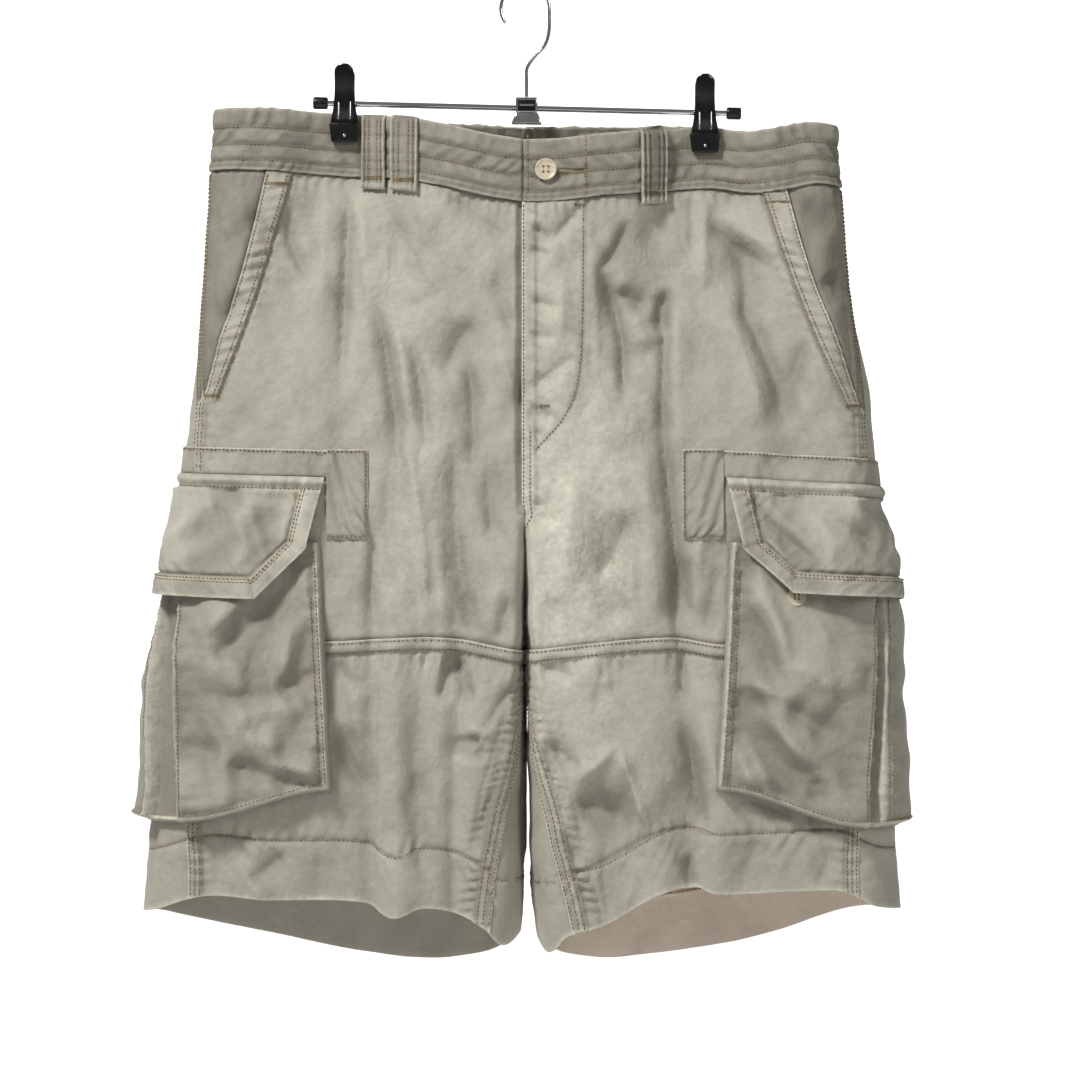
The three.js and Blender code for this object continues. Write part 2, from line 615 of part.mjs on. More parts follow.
function addBag(side) {
  const size = cargo[side];
  // columns from the front edge to the back edge: a share of each half, or steps into the pleat
  const stops = [
    { half: "front", share: 0 },
    { half: "front", share: 0, into: gusset },
    { half: "front", share: 0.25 },
    { half: "front", share: 0.5 },
    { half: "front", share: 0.7 },
    { half: "front", share: 0.86 },
    { half: "front", share: 1 },
    { half: "pleat", share: 0.12 },
    { half: "pleat", share: 0.88 },
    { half: "back", share: 0 },
    { half: "back", share: 0.18 },
    { half: "back", share: 0.36 },
    { half: "back", share: 0.56 },
    { half: "back", share: 0.78 },
    { half: "back", share: 1, into: -gusset },
    { half: "back", share: 1 },
  ];
  const arcAt = (stop, z) => {
    const pleatFront = pleatArc(z);
    const pleatBack = pleatFront - size.pleat;
    if (stop.half === "pleat") return lerp(pleatFront, pleatBack, stop.share);
    const from = stop.half === "front" ? bagFrontArc(side, z) : pleatBack;
    const to = stop.half === "front" ? pleatFront : bagBack;
    return lerp(from, to, stop.share) - (stop.into ?? 0);
  };
  const openRows = 8;
  const place = (i, j) => {
    const stop = stops[j];
    const toPleat = stop.half === "front" ? stop.share : stop.half === "back" ? 1 - stop.share : 1;
    const across = bagFrontArc(side, bagMouth) - arcAt(stop, bagMouth);
    const mouth = lerp(bagMouth, size.mouthAtPleat, toPleat ** 1.5) + size.tip * across;
    const foot = stop.half === "front" ? lerp(bagBottom, size.bottomAtPleat, smoothstep(stop.share)) : size.bottomAtPleat;
    const z = i > openRows ? foot : lerp(mouth, foot + gusset, i / openRows);
    const full = bagLift(side, z);
    const onEdge = i > openRows || j === 0 || j === stops.length - 1;
    const crown = lerp(bagEdgeShare, 1, smoothstep(toPleat * 1.6));
    const lift = onEdge ? bagFoot : stop.half === "pleat" ? pleatFloor : full * crown;
    return { z, arc: arcAt(stop, z), lift };
  };
  add(`cargo_bag_${side}`, clothGeometry(side, openRows + 1, stops.length - 1, place, bagWall), twill);
}

// The flap is set out flat: "across" runs from its front edge to its back, "down" from its top
const flapFrontArc = (side, z) => arcOfX(side, z, flapFrontX.top + flapFrontX.slope * (z - flapTop));
const flapWidth = (side) => flapFrontArc(side, flapTop) - flapBack;
const flapLift = (side, down) => {
  const share = clamp(down / cargo[side].drop, 0, 1);
  return lerp(patchLift + flapWall + 0.4, cargo[side].flap, smoothstep(share * 0.94 + 0.03));
};
function flapPlace(side, across, down, lift) {
  const width = flapWidth(side);
  const z = flapTop - down + cargo[side].tip * across;
  const arc = lerp(flapFrontArc(side, z), flapBack, across / width);
  return { z, arc, lift: flapLift(side, down) + lift };
}

function addFlap(side) {
  const width = flapWidth(side);
  const { side: straight, reach } = flapCorner;
  const longest = cargo[side].drop;
  const rows = 6;
  const middle = 10;
  const stops = [0, reach / 2];
  for (let k = 0; k <= middle; k += 1) stops.push(lerp(reach, width - reach, k / middle));
  stops.push(width - reach / 2, width);
  const place = (i, j) => {
    const inFromEnd = Math.min(stops[j], width - stops[j]);
    const low = lerp(straight, longest, clamp(inFromEnd / reach, 0, 1));
    return flapPlace(side, stops[j], (low * i) / rows, 0);
  };
  add(`cargo_flap_${side}`, clothGeometry(side, rows, stops.length - 1, place, flapWall), twill);
}

// The flap's bound edge: a border that follows its sides, mitres and bottom
function addFlapBorder(side) {
  const width = flapWidth(side);
  const { side: straight, reach } = flapCorner;
  const longest = cargo[side].drop;
  const inset = flapBorder * Math.tan(Math.PI / 8);
  const bottomSteps = 10;
  const half = [
    { across: 0, down: 4, inAcross: flapBorder, inDown: 0 },
    { across: 0, down: straight / 2, inAcross: flapBorder, inDown: 0 },
    { across: 0, down: straight, inAcross: flapBorder, inDown: -inset },
    { across: reach / 2, down: (straight + longest) / 2, inAcross: flapBorder * 0.62, inDown: -flapBorder * 0.78 },
    { across: reach, down: longest, inAcross: inset * 0.8, inDown: -flapBorder },
  ];
  const path = [...half];
  for (let k = 1; k < bottomSteps; k += 1) {
    path.push({ across: lerp(reach, width - reach, k / bottomSteps), down: longest, inAcross: 0, inDown: -flapBorder });
  }
  path.push(...half.reverse().map((p) => ({ ...p, across: width - p.across, inAcross: -p.inAcross })));
  const place = (i, j) => {
    const p = path[i];
    const share = j / 2;
    return flapPlace(side, p.across + p.inAcross * share, p.down + p.inDown * share, patchLift + patchWall + 0.3);
  };
  add(`cargo_flap_border_${side}`, clothGeometry(side, path.length - 1, 2, place, patchWall), twillDark);
}

function addPatches(side) {
  const stripColumns = 18;
  const width = flapWidth(side);
  const stripPlace = (i, j) => {
    const across = (width * j) / stripColumns;
    const z = flapTop + 0.8 + (stripWidth - 0.8) * (1 - i) + cargo[side].tip * across;
    const front = arcOfX(side, z, tab.outer) - seamGap;
    return { z, arc: lerp(front, flapBack, j / stripColumns), lift: patchLift + patchWall };
  };
  add(`cargo_strip_${side}`, clothGeometry(side, 1, stripColumns, stripPlace, patchWall), twill);
  const tabRows = 5;
  const tabColumns = 3;
  const tabPlace = (i, j) => {
    const z = lerp(tab.top, tab.bottom, i / tabRows);
    return { z, arc: arcOfX(side, z, lerp(tab.inner, tab.outer, j / tabColumns)), lift: patchLift + patchWall + 0.3 };
  };
  add(`cargo_tab_${side}`, clothGeometry(side, tabRows, tabColumns, tabPlace, patchWall), twill);
}

// Solids that need a cut
const wasm = await Module();
wasm.setup();
function solidOf(geometry) {
  const bare = geometry.clone();
  bare.deleteAttribute("normal");
  bare.deleteAttribute("uv");
  const merged = mergeVertices(bare, 1e-3);
  return new wasm.Manifold(
    new wasm.Mesh({
      numProp: 3,
      vertProperties: merged.attributes.position.array,
      triVerts: new Uint32Array(merged.index.array),
    }),
  );
}
function geometryOf(solid) {
  const mesh = solid.getMesh();
  const geometry = new THREE.BufferGeometry();
  geometry.setAttribute("position", new THREE.Float32BufferAttribute(mesh.vertProperties, 3));
  geometry.setIndex(new THREE.BufferAttribute(mesh.triVerts, 1));
  return geometry;
}

// A four-hole button with a rim, its face towards -Y
function buttonGeometry({ radius, thickness, holeRadius, holeSpread }) {
  const profile = [
    [0, 0], [radius * 0.7, 0], [radius, thickness * 0.4], [radius * 0.9, thickness],
    [radius * 0.72, thickness * 0.95], [radius * 0.6, thickness * 0.7], [0, thickness * 0.7],
  ].map(([r, h]) => new THREE.Vector2(r, h));
  let solid = solidOf(new THREE.LatheGeometry(profile, 12));
  for (const [x, y] of [[-1, -1], [-1, 1], [1, -1], [1, 1]]) {
    const hole = new THREE.CylinderGeometry(holeRadius, holeRadius, thickness * 3, 5);
    hole.translate(x * holeSpread * 0.7, 0, y * holeSpread * 0.7);
    solid = solid.subtract(solidOf(hole));
  }
  return geometryOf(solid);
}

// Stands a button on the cloth at a place, facing along the cloth's normal
function placeButton(mesh, side, z, arc, lift) {
  const { point, normal } = clothPoint(side, z, arc, lift);
  mesh.quaternion.setFromUnitVectors(new THREE.Vector3(0, 1, 0), normal);
  mesh.position.copy(point);
}

const bagLift = (side, z) => lerp(bagMouthStand, cargo[side].bag, smoothstep((bagMouth - z) / bagSwell));

function addPocketButtons(side) {
  const { fromEnd } = pocketButton;
  const z = cargo[side].button;
  const front = bagFrontArc(side, z);
  const places = [["front", front - fromEnd], ["back", bagBack + fromEnd]];
  for (const [where, arc] of places) {
    const button = add(`cargo_button_${side}_${where}`, buttonGeometry(pocketButton), horn);
    const height = z + cargo[side].tip * (front - arc);
    placeButton(button, side, height, arc, bagLift(side, height) + 0.9);
  }
}

function addButtons() {
  const onWaist = add("waist_button", buttonGeometry(waistButton), horn);
  const waistArc = arcOfX("left", waistButton.z, waistButton.x);
  placeButton(onWaist, "left", waistButton.z, waistArc, bandStand + 0.5);
}

// Hanger
class HookCurve extends THREE.Curve {
  constructor() {
    super();
    const centre = -hookRadius + wire;
    this.stem = new THREE.CatmullRomCurve3(
      [
        [stem.x, stem.end],
        [stem.x, stem.bend - 8],
        [stem.x + 0.6, stem.bend],
        [8, stem.bend + 9],
        [hookRadius - 3.6, stem.shoulder - 8],
        [hookRadius - 0.3, stem.shoulder + 3],
        [hookRadius, centre],
      ].map(([x, z]) => new THREE.Vector3(x, 0, z)),
    );
    this.centre = centre;
  }
  getPoint(t) {
    const stemShare = 0.46;
    if (t < stemShare) return this.stem.getPoint(t / stemShare);
    const turn = ((t - stemShare) / (1 - stemShare)) * Math.PI * 1.2;
    return new THREE.Vector3(hookRadius * Math.cos(turn), 0, this.centre + hookRadius * Math.sin(turn));
  }
}

function addHook() {
  const section = new THREE.Shape().absarc(0, 0, wire, 0, Math.PI * 2, false);
  const geometry = new THREE.ExtrudeGeometry(section, { steps: 32, curveSegments: 4, extrudePath: new HookCurve() });
  add("hook", geometry, chrome);
}

const rodAt = (x) => lerp(rod.fromZ, rod.toZ, (x - rod.fromX) / (rod.toX - rod.fromX));
function addRod() {
  const length = Math.hypot(rod.toX - rod.fromX, rod.toZ - rod.fromZ);
  const tilt = Math.atan2(rod.toZ - rod.fromZ, rod.toX - rod.fromX);
  const along = new THREE.Group();
  along.position.set((rod.fromX + rod.toX) / 2, 0, (rod.fromZ + rod.toZ) / 2);
  along.rotation.y = -tilt;
  model.add(along);
  const bar = new THREE.Mesh(new THREE.CylinderGeometry(rod.radius, rod.radius, length, 12), chrome);
  bar.name = "rod";
  bar.rotation.z = Math.PI / 2;
  along.add(bar);
  const capBore = rod.radius + 0.3;
  const capProfile = [
    [0, 0], [3.6, 0], [4.6, 1.2], [4.6, 9], [4, 11], [capBore, 11], [capBore, 1.8], [0, 1.8],
  ].map(([r, h]) => new THREE.Vector2(r, h));
  for (const [name, end, turn] of [["rod_cap_right", -1, -1], ["rod_cap_left", 1, 1]]) {
    const cap = new THREE.Mesh(new THREE.LatheGeometry(capProfile, 14), rubber);
    cap.name = name;
    cap.position.x = end * (length / 2 + 2.1);
    cap.rotation.z = (turn * Math.PI) / 2;
    along.add(cap);
  }
}

// The swivel that carries the rod: a bent bracket over a block, flared into a skirt below the rod
function addSwivel() {
  const box = (width, depth, height, z) => new THREE.BoxGeometry(width, depth, height).translate(stem.x, 0, z);
  const { top, bottom, width, depth, wall } = bracket;
  const outside = solidOf(box(width, depth, top - bottom, (top + bottom) / 2));
  const slot = solidOf(box(width - 4 * wall, depth * 2, wall, top - 2 * wall));
  const flare = new THREE.CylinderGeometry(skirt.topWidth / Math.SQRT2, skirt.bottomWidth / Math.SQRT2, skirt.top - skirt.bottom, 4);
  flare.rotateY(Math.PI / 4);
  flare.rotateX(Math.PI / 2);
  flare.scale(1, skirt.topDepth / skirt.topWidth, 1);
  flare.translate(stem.x, 0, (skirt.top + skirt.bottom) / 2);
  const bore = new THREE.CylinderGeometry(rod.radius + 0.5, rod.radius + 0.5, 60, 16);
  bore.rotateZ(Math.PI / 2);
  bore.translate(0, 0, rodAt(stem.x));
  const seat = new THREE.CylinderGeometry(wire + 0.3, wire + 0.3, 12, 16);
  seat.rotateX(Math.PI / 2);
  seat.translate(stem.x, 0, stem.end + 6 - 0.3);
  const solid = outside.subtract(slot).add(solidOf(flare)).subtract(solidOf(bore)).subtract(solidOf(seat));
  add("swivel", geometryOf(solid), chrome);
}

// A spring clip: two pressed levers in moulded pads, each with a pair of ears that turn on the rod, and
// the spring's barrel between the ears
const padInside = pinchDepth + bandStand + 0.8;
const leverOut = padInside + 1.6;
const leverProfile = [
  { up: 57.6, out: 13.6, half: 2.6, crown: 0.3 },
  { up: 56.6, out: 13.4, half: 5.2, crown: 0.8 },
  { up: 53, out: 13, half: 6.9, crown: 1.2 },
  { up: 46, out: 11.8, half: 7, crown: 1.2 },
  { up: 36, out: 9.4, half: 7.2, crown: 1.2 },
  { up: 24, out: 7.6, half: 8.4, crown: 1 },
  { up: 15.5, out: leverOut, half: 10, crown: 0 },
  { up: 3, out: leverOut, half: 10, crown: 0 },
];
const barrelRadius = 5;
const barrelHalf = 3.8;
const ear = { wall: 1, reach: 3.6, half: 4.4, front: 6, back: 4.6 };

// One ear: a bored plate from the rod to the lever's inner face
function earSolid(x, earX, facing, rodZ, inner) {
  const depth = ear.reach + inner + lever.wall / 2;
  const plate = new THREE.BoxGeometry(ear.wall, depth, 2 * ear.half);
  plate.translate(x + earX, facing * (depth / 2 - ear.reach), rodZ);
  return solidOf(plate);
}

function padGeometry(x, foot, facing) {
  const { width, height, thickness, corner } = pad;
  const outline = new THREE.Shape();
  outline.moveTo(-width / 2 + 1.2, height);
  outline.lineTo(-width / 2, height * 0.6);
  outline.lineTo(-width / 2, corner);
  outline.lineTo(-width / 2 + corner, 0);
  outline.lineTo(width / 2 - corner, 0);
  outline.lineTo(width / 2, corner);
  outline.lineTo(width / 2, height * 0.6);
  outline.lineTo(width / 2 - 1.2, height);
  const block = new THREE.ExtrudeGeometry(outline, { depth: thickness, bevelEnabled: false });
  block.rotateX(Math.PI / 2);
  block.translate(x, facing < 0 ? -padInside : padInside + thickness, foot);
  const slotWidth = lever.wall + 2 * lever.fit;
  const slot = new THREE.BoxGeometry(20 + 2 * lever.fit + 0.1, slotWidth, height);
  slot.translate(x, facing * (leverOut - lever.fit + slotWidth / 2), foot + 3 - lever.fit + height / 2);
  return geometryOf(solidOf(block).subtract(solidOf(slot)));
}

function addClip({ name, x, foot }) {
  const bore = rod.radius + 0.4;
  const rising = [...leverProfile].reverse();
  for (const [where, facing] of [["front", -1], ["back", 1]]) {
    add(`clip_pad_${name}_${where}`, padGeometry(x, foot, facing), rubber);
    const columns = [-1, -0.62, 0, 0.62, 1];
    const grid = leverProfile.map(({ up, out, half, crown }) =>
      columns.map((share) => {
        const stand = out + lever.wall + crown * (1 - share * share);
        return new THREE.Vector3(x + share * half, facing * stand, foot + up);
      }),
    );
    const hints = grid.map((row) => row.map(() => new THREE.Vector3(0, facing, 0)));
    const rodZ = rodAt(x);
    const inner = curveAt(rising, "up", "out", rodZ - foot);
    let solid = solidOf(wallGeometry(grid, hints, lever.wall));
    for (const end of [-1, 1]) solid = solid.add(earSolid(x, end * ear[where], facing, rodZ, inner));
    const hole = new THREE.CylinderGeometry(bore, bore, 30, 12).rotateZ(Math.PI / 2).translate(x, 0, rodZ);
    add(`clip_lever_${name}_${where}`, geometryOf(solid.subtract(solidOf(hole))), blackMetal);
  }
  const barrelProfile = [
    [bore, -barrelHalf], [barrelRadius, -barrelHalf], [barrelRadius, barrelHalf], [bore, barrelHalf], [bore, -barrelHalf],
  ].map(([r, h]) => new THREE.Vector2(r, h));
  const barrel = new THREE.LatheGeometry(barrelProfile, 16);
  const tilt = Math.atan2(rod.toZ - rod.fromZ, rod.toX - rod.fromX);
  barrel.rotateZ(Math.PI / 2);
  barrel.rotateY(-tilt);
  barrel.translate(x, 0, rodAt(x));
  add(`clip_spring_${name}`, barrel, chrome);
}

for (const side of sideNames) {
  addWaistband(side);
  addFrontUpper(side);
  addFrontLower(side);
  addBack(side);
  addHip(side);
  addPocketBand(side);
  addBag(side);
  addFlap(side);
  addFlapBorder(side);
  addPatches(side);
  addPocketButtons(side);
}
addFly();
loops.forEach(addBeltLoop);
addButtons();
addHook();
addRod();
addSwivel();
clips.forEach(addClip);

export default model;
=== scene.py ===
import math

import bpy
import numpy as np
from mathutils import Matrix, Vector


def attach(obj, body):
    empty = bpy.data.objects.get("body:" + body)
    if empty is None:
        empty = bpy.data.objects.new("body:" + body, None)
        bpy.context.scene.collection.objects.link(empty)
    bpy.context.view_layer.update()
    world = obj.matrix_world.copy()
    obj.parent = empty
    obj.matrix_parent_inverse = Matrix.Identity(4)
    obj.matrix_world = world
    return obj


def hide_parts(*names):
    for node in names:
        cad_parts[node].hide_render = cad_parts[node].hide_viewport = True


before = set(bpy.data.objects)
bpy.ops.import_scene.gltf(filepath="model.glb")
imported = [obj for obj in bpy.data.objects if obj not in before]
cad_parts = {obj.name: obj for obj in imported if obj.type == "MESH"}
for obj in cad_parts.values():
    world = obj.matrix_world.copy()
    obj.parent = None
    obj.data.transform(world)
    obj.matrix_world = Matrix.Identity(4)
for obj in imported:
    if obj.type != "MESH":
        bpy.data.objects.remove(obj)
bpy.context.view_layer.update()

# How the shorts hang: two clips pinch the waistband flat, and the legs round out and open below.
# Front and back are one surface of 260 g cotton twill, and every cloth piece is cut on it. The
# sizes are in millimetres, at a height z and at an arc measured round the body from its side.
def table(columns, *rows):
    return [dict(zip(columns.split(), row)) for row in rows]


crotch_top = -384
crotch_point = -438
pinch_depth = 2.6
middle_from, middle_to = 40, 190
clip_x = {"right": -133.6, "left": 133}
sign_of = {"right": -1, "left": 1}
sides = ("right", "left")

body = table(
    "z right left gap_right gap_left front front_side back back_side round inner",
    (-86, 228.5, 229.5, 0.2, 0.2, 26, 13, 16, 13, 15, 8),
    (-140, 232.5, 232, 0.2, 0.2, 29, 16, 21, 16, 18, 8),
    (-235, 239.5, 241.5, 0.2, 0.2, 35, 27, 34, 27, 26, 8),
    (-323, 248.5, 256, 0.2, 0.2, 39, 34, 42, 35, 32, 8),
    (-402, 257, 263, 0.3, 0.3, 41, 38, 45, 39, 35, 8),
    (-485, 265, 267.5, 0.6, 0.5, 42, 40, 46, 41, 36, 9),
    (-550, 270, 269.5, 0.5, 0.5, 42, 41, 47, 42, 36, 12),
    (-615, 275, 272, 0.6, 1.2, 42, 41, 49, 43, 36, 16),
    (-637, 277.3, 274.4, 0.6, 0.8, 42, 40, 50, 43, 35.3, 17.4),
    (-684, 281, 279, 4.5, 9, 42, 38, 52, 43, 34, 20),
    (-730, 282, 280, 8, 17, 42, 38, 53, 43, 34, 22),
)
pinch = table(
    "z share spread",
    (-86, 1, 38), (-118, 1, 38), (-140, 0.94, 40), (-180, 0.7, 46), (-230, 0.36, 58), (-290, 0.1, 80),
    (-335, 0, 90),
)
folds = table(
    "face x z to_x to_z width height",
    ("front", -130, -150, -135, -330, 9, -2.5),
    ("front", -110, -420, -112, -676, 7, -5),
    ("front", -94, -470, -93, -690, 12, 6),
    ("front", -50, -500, -52, -690, 8, -7),
    ("front", -28, -540, -30, -700, 12, 5),
    ("front", 60, -230, 48, -300, 12, -4),
    ("front", 118, -445, 126, -670, 13, -6),
    ("front", 95, -600, 105, -690, 18, 6),
    ("front", 158, -190, 190, -320, 12, -3),
    ("back", -70, -200, -85, -420, 18, -5),
    ("back", 75, -200, 95, -430, 18, -5),
    ("back", -150, -430, -140, -700, 16, -6),
    ("back", -70, -500, -60, -715, 16, -6),
    ("back", 80, -480, 70, -715, 16, -6),
    ("back", 155, -430, 160, -700, 16, -6),
)
fold_fade = 45


def smooth(t):
    t = np.clip(t, 0, 1)
    return t * t * (3 - 2 * t)


def mix(a, b, t):
    return a + (b - a) * t


def curve_at(rows, key, column, at):
    keys = np.array([row[key] for row in rows], float)
    values = np.array([row[column] for row in rows], float)
    if keys[0] > keys[-1]:
        keys, values = keys[::-1], values[::-1]
    last = len(keys) - 1
    below = np.maximum(np.arange(last + 1) - 1, 0)
    above = np.minimum(np.arange(last + 1) + 1, last)
    slopes = (values[above] - values[below]) / (keys[above] - keys[below])
    k = np.clip(np.searchsorted(keys, at) - 1, 0, last - 1)
    span = keys[k + 1] - keys[k]
    t = np.clip((at - keys[k]) / span, 0, 1)
    bend = t * (1 - t) * ((1 - t) * slopes[k] - t * slopes[k + 1]) * span
    return mix(values[k], values[k + 1], t * t * (3 - 2 * t)) + bend


def pinch_at(x, z):
    share = np.where(z < pinch[-1]["z"], 0, curve_at(pinch, "z", "share", z))
    spread = curve_at(pinch, "z", "spread", z)
    near = [np.exp(-(((x - clip_x[side]) / spread) ** 4)) for side in sides]
    return np.clip(share * np.maximum(*near), 0, 1)


def fold_at(face, x, z):
    push = np.zeros(np.broadcast(x, z).shape)
    for fold in folds:
        if fold["face"] == face:
            along = (z - fold["z"]) / (fold["to_z"] - fold["z"])
            inside = np.minimum(along, 1.15 - along) * abs(fold["to_z"] - fold["z"])
            centre = mix(fold["x"], fold["to_x"], along)
            fade = smooth((inside + fold_fade) / fold_fade)
            push += fold["height"] * fade * np.exp(-(((x - centre) / fold["width"]) ** 2))
    return push


# The surface is worked out once on a net of heights and arcs, 1 mm apart
heights = np.arange(-80.0, -741.0, -1.0)
arcs = np.arange(-400.0, 361.0, 1.0)


def surface_net(side):
    sign = sign_of[side]
    z = heights[:, None]
    read = lambda column: curve_at(body, "z", column, z)
    outer, gap, bend, turn = read(side), read("gap_" + side), read("inner"), read("round")
    closed = smooth((crotch_top - z) / (crotch_top - crotch_point))
    quarter = np.linspace(0, math.pi / 2, 41)
    inner_turn = quarter[:-1:2]
    x = np.hstack([
        gap + bend * (1 - np.cos(inner_turn)),
        mix(gap + bend, outer - turn, np.arange(120) / 120),
        outer - turn + turn * np.sin(quarter),
    ])
    share = np.hstack([
        mix(1, np.sin(inner_turn), closed),
        np.ones((len(heights), 120)),
        np.tile(np.cos(quarter), (len(heights), 1)),
    ])
    halves = []
    for face in ("front", "back"):
        full = mix(read(face), read(face + "_side"), smooth((x - middle_from) / (middle_to - middle_from)))
        depth = mix(full, pinch_depth, pinch_at(sign * x, z)) + fold_at(face, sign * x, z) * share
        depth = depth * share
        halves.append(np.stack([sign * x, -depth if face == "front" else depth], axis=2))
    points = np.hstack([halves[0], halves[1][:, -2::-1]])
    steps = np.linalg.norm(np.diff(points, axis=1), axis=2)
    along = np.hstack([np.zeros((len(heights), 1)), np.cumsum(steps, axis=1)])
    front_length = along[:, x.shape[1] - 1]
    total = along[:, -1]
    net = np.empty((len(heights), len(arcs), 3))
    net[:, :, 2] = z
    for i in range(len(heights)):
        at = front_length[i] - arcs
        if closed[i, 0] > 0.999:
            at = at % total[i]
        for axis in (0, 1):
            line = points[i, :, axis]
            start = (line[1] - line[0]) / (along[i, 1] - along[i, 0])
            end = (line[-1] - line[-2]) / (along[i, -1] - along[i, -2])
            net[i, :, axis] = np.interp(at, along[i], line)
            net[i, :, axis] += np.minimum(at, 0) * start + np.maximum(at - total[i], 0) * end
    normal = np.cross(np.gradient(net, axis=1), -np.gradient(net, axis=0)) * -sign
    normal /= np.linalg.norm(normal, axis=2, keepdims=True)
    for _ in range(24):
        normal[1:-1] = (normal[:-2] + normal[1:-1] + normal[2:]) / 3
        normal[:, 1:-1] = (normal[:, :-2] + normal[:, 1:-1] + normal[:, 2:]) / 3
    return {"net": net, "normal": normal, "front": front_length, "back": total - front_length}


nets = {side: surface_net(side) for side in sides}


def read_net(layer, z, arc):
    z, arc = np.broadcast_arrays(np.asarray(z, float), np.asarray(arc, float))
    row = np.clip(heights[0] - z, 0, len(heights) - 1.001)
    column = np.clip(arc - arcs[0], 0, len(arcs) - 1.001)
    i, j = row.astype(int), column.astype(int)
    s, t = (row - i)[..., None], (column - j)[..., None]
    return mix(mix(layer[i, j], layer[i, j + 1], t), mix(layer[i + 1, j], layer[i + 1, j + 1], t), s)


def cloth_at(side, z, arc, lift):
    point = read_net(nets[side]["net"], z, arc)
    normal = read_net(nets[side]["normal"], z, arc)
    normal /= np.linalg.norm(normal, axis=-1, keepdims=True)
    return point + normal * np.asarray(lift)[..., None], normal


def front_length(side, z):
    return np.interp(-np.asarray(z, float), -heights, nets[side]["front"])


def back_length(side, z):
    return np.interp(-np.asarray(z, float), -heights, nets[side]["back"])


def arc_of_x(side, z, x, face="front"):
    low = np.zeros(np.broadcast(z, x).shape)
    high = front_length(side, z) + low if face == "front" else low - back_length(side, z)
    for _ in range(22):
        middle = (low + high) / 2
        outside = np.abs(read_net(nets[side]["net"], z, middle)[..., 0]) > x
        low, high = np.where(outside, middle, low), np.where(outside, high, middle)
    return (low + high) / 2


# Seams and edges: their heights across the width, and how far the leg seams swing to the front
waist_front = table(
    "x z",
    (-232, -91.5), (-193, -91.3), (-134, -95), (-91, -98), (-62, -103.7), (0, -116), (55, -111.7),
    (99, -107.3),
    (133, -104.4), (164, -108), (186, -105.9), (208, -101.8), (232, -103.7),
)
waist_back = table(
    "x z",
    (-232, -91.5), (-134, -95), (-70, -99), (0, -102.5), (70, -102.5), (133, -104.4), (164, -107),
    (208, -101.8),
    (232, -103.7),
)
thigh_seam = table(
    "x z",
    (-290, -485), (-145, -484.7), (-61, -481.8), (-3, -491.5), (3, -491), (104, -481.8), (145, -487),
    (290, -487),
)
hem_front = {
    "right": table(
        "x z",
        (-281, -684), (-235, -671), (-188, -673.8), (-118, -675.5), (-96, -686.5), (-78, -680), (-56, -682),
        (-30, -694), (-16, -707), (-4, -697),
    ),
    "left": table(
        "x z",
        (10, -697), (18, -713), (30, -701), (61, -691), (98, -669.5), (124, -664.3), (141, -669.5),
        (190, -668),
        (231, -667.2), (256, -678), (279, -682),
    ),
}
hem_back = {
    "right": table(
        "x z", (-281, -684), (-255, -692), (-179, -707.5), (-91, -724), (-40, -722), (-18, -715), (-4, -697),
    ),
    "left": table(
        "x z", (10, -697), (22, -717), (49, -724), (84, -722.7), (125, -717.6), (187, -704), (240, -687),
        (279, -682),
    ),
}
seam_swing = table(
    "z side inseam",
    (-142, 0.5, 0), (-212, 1.5, 0), (-270, 4, 0), (-308, 8, 0), (-400, 15, 0), (-450, 20, 2), (-495, 25, 13),
    (-530, 28, 28), (-567, 30, 40), (-615, 32, 52), (-650, 37, 58), (-730, 42, 60),
)
slant = table(
    "z right left band", (-136, 190, 188.5, 20), (-212, 207.8, 209.5, 16), (-272, 227, 231.5, 15),
    (-318, 240, 246.7, 11),
)
slant_end = {"right": -308, "left": -316}
band_depth = 46


def side_seam_arc(side, z):
    edge = curve_at(body, "z", side, z)
    return arc_of_x(side, z, edge - np.maximum(curve_at(seam_swing, "z", "side", z), 0))


def inseam_shift(z):
    return np.maximum(curve_at(seam_swing, "z", "inseam", z), 0)


def slant_arc(side, z):
    return arc_of_x(side, z, curve_at(slant, "z", side, z))


def on_front(side, z, arc):
    return (arc >= 0) | ((arc < -back_length(side, z)) & (np.asarray(z) < crotch_point))


def line_height(front, back, side, arc_at, start, offset=0.0):
    z = np.full(np.shape(arc_at(np.float64(start))), float(start))
    for _ in range(6):
        arc = arc_at(z)
        x = read_net(nets[side]["net"], z, arc)[..., 0]
        ahead = on_front(side, z, arc)
        z = np.where(ahead, curve_at(front, "x", "z", x), curve_at(back, "x", "z", x)) + offset
    return z


def waist_height(side, arc_at, offset=0.0):
    return line_height(waist_front, waist_back, side, arc_at, -100, offset)


def thigh_height(side, arc_at, offset=0.0):
    return line_height(thigh_seam, thigh_seam, side, arc_at, -485, offset)


def hem_height(side, arc_at, offset=0.0):
    return line_height(hem_front[side], hem_back[side], side, arc_at, -690, offset)


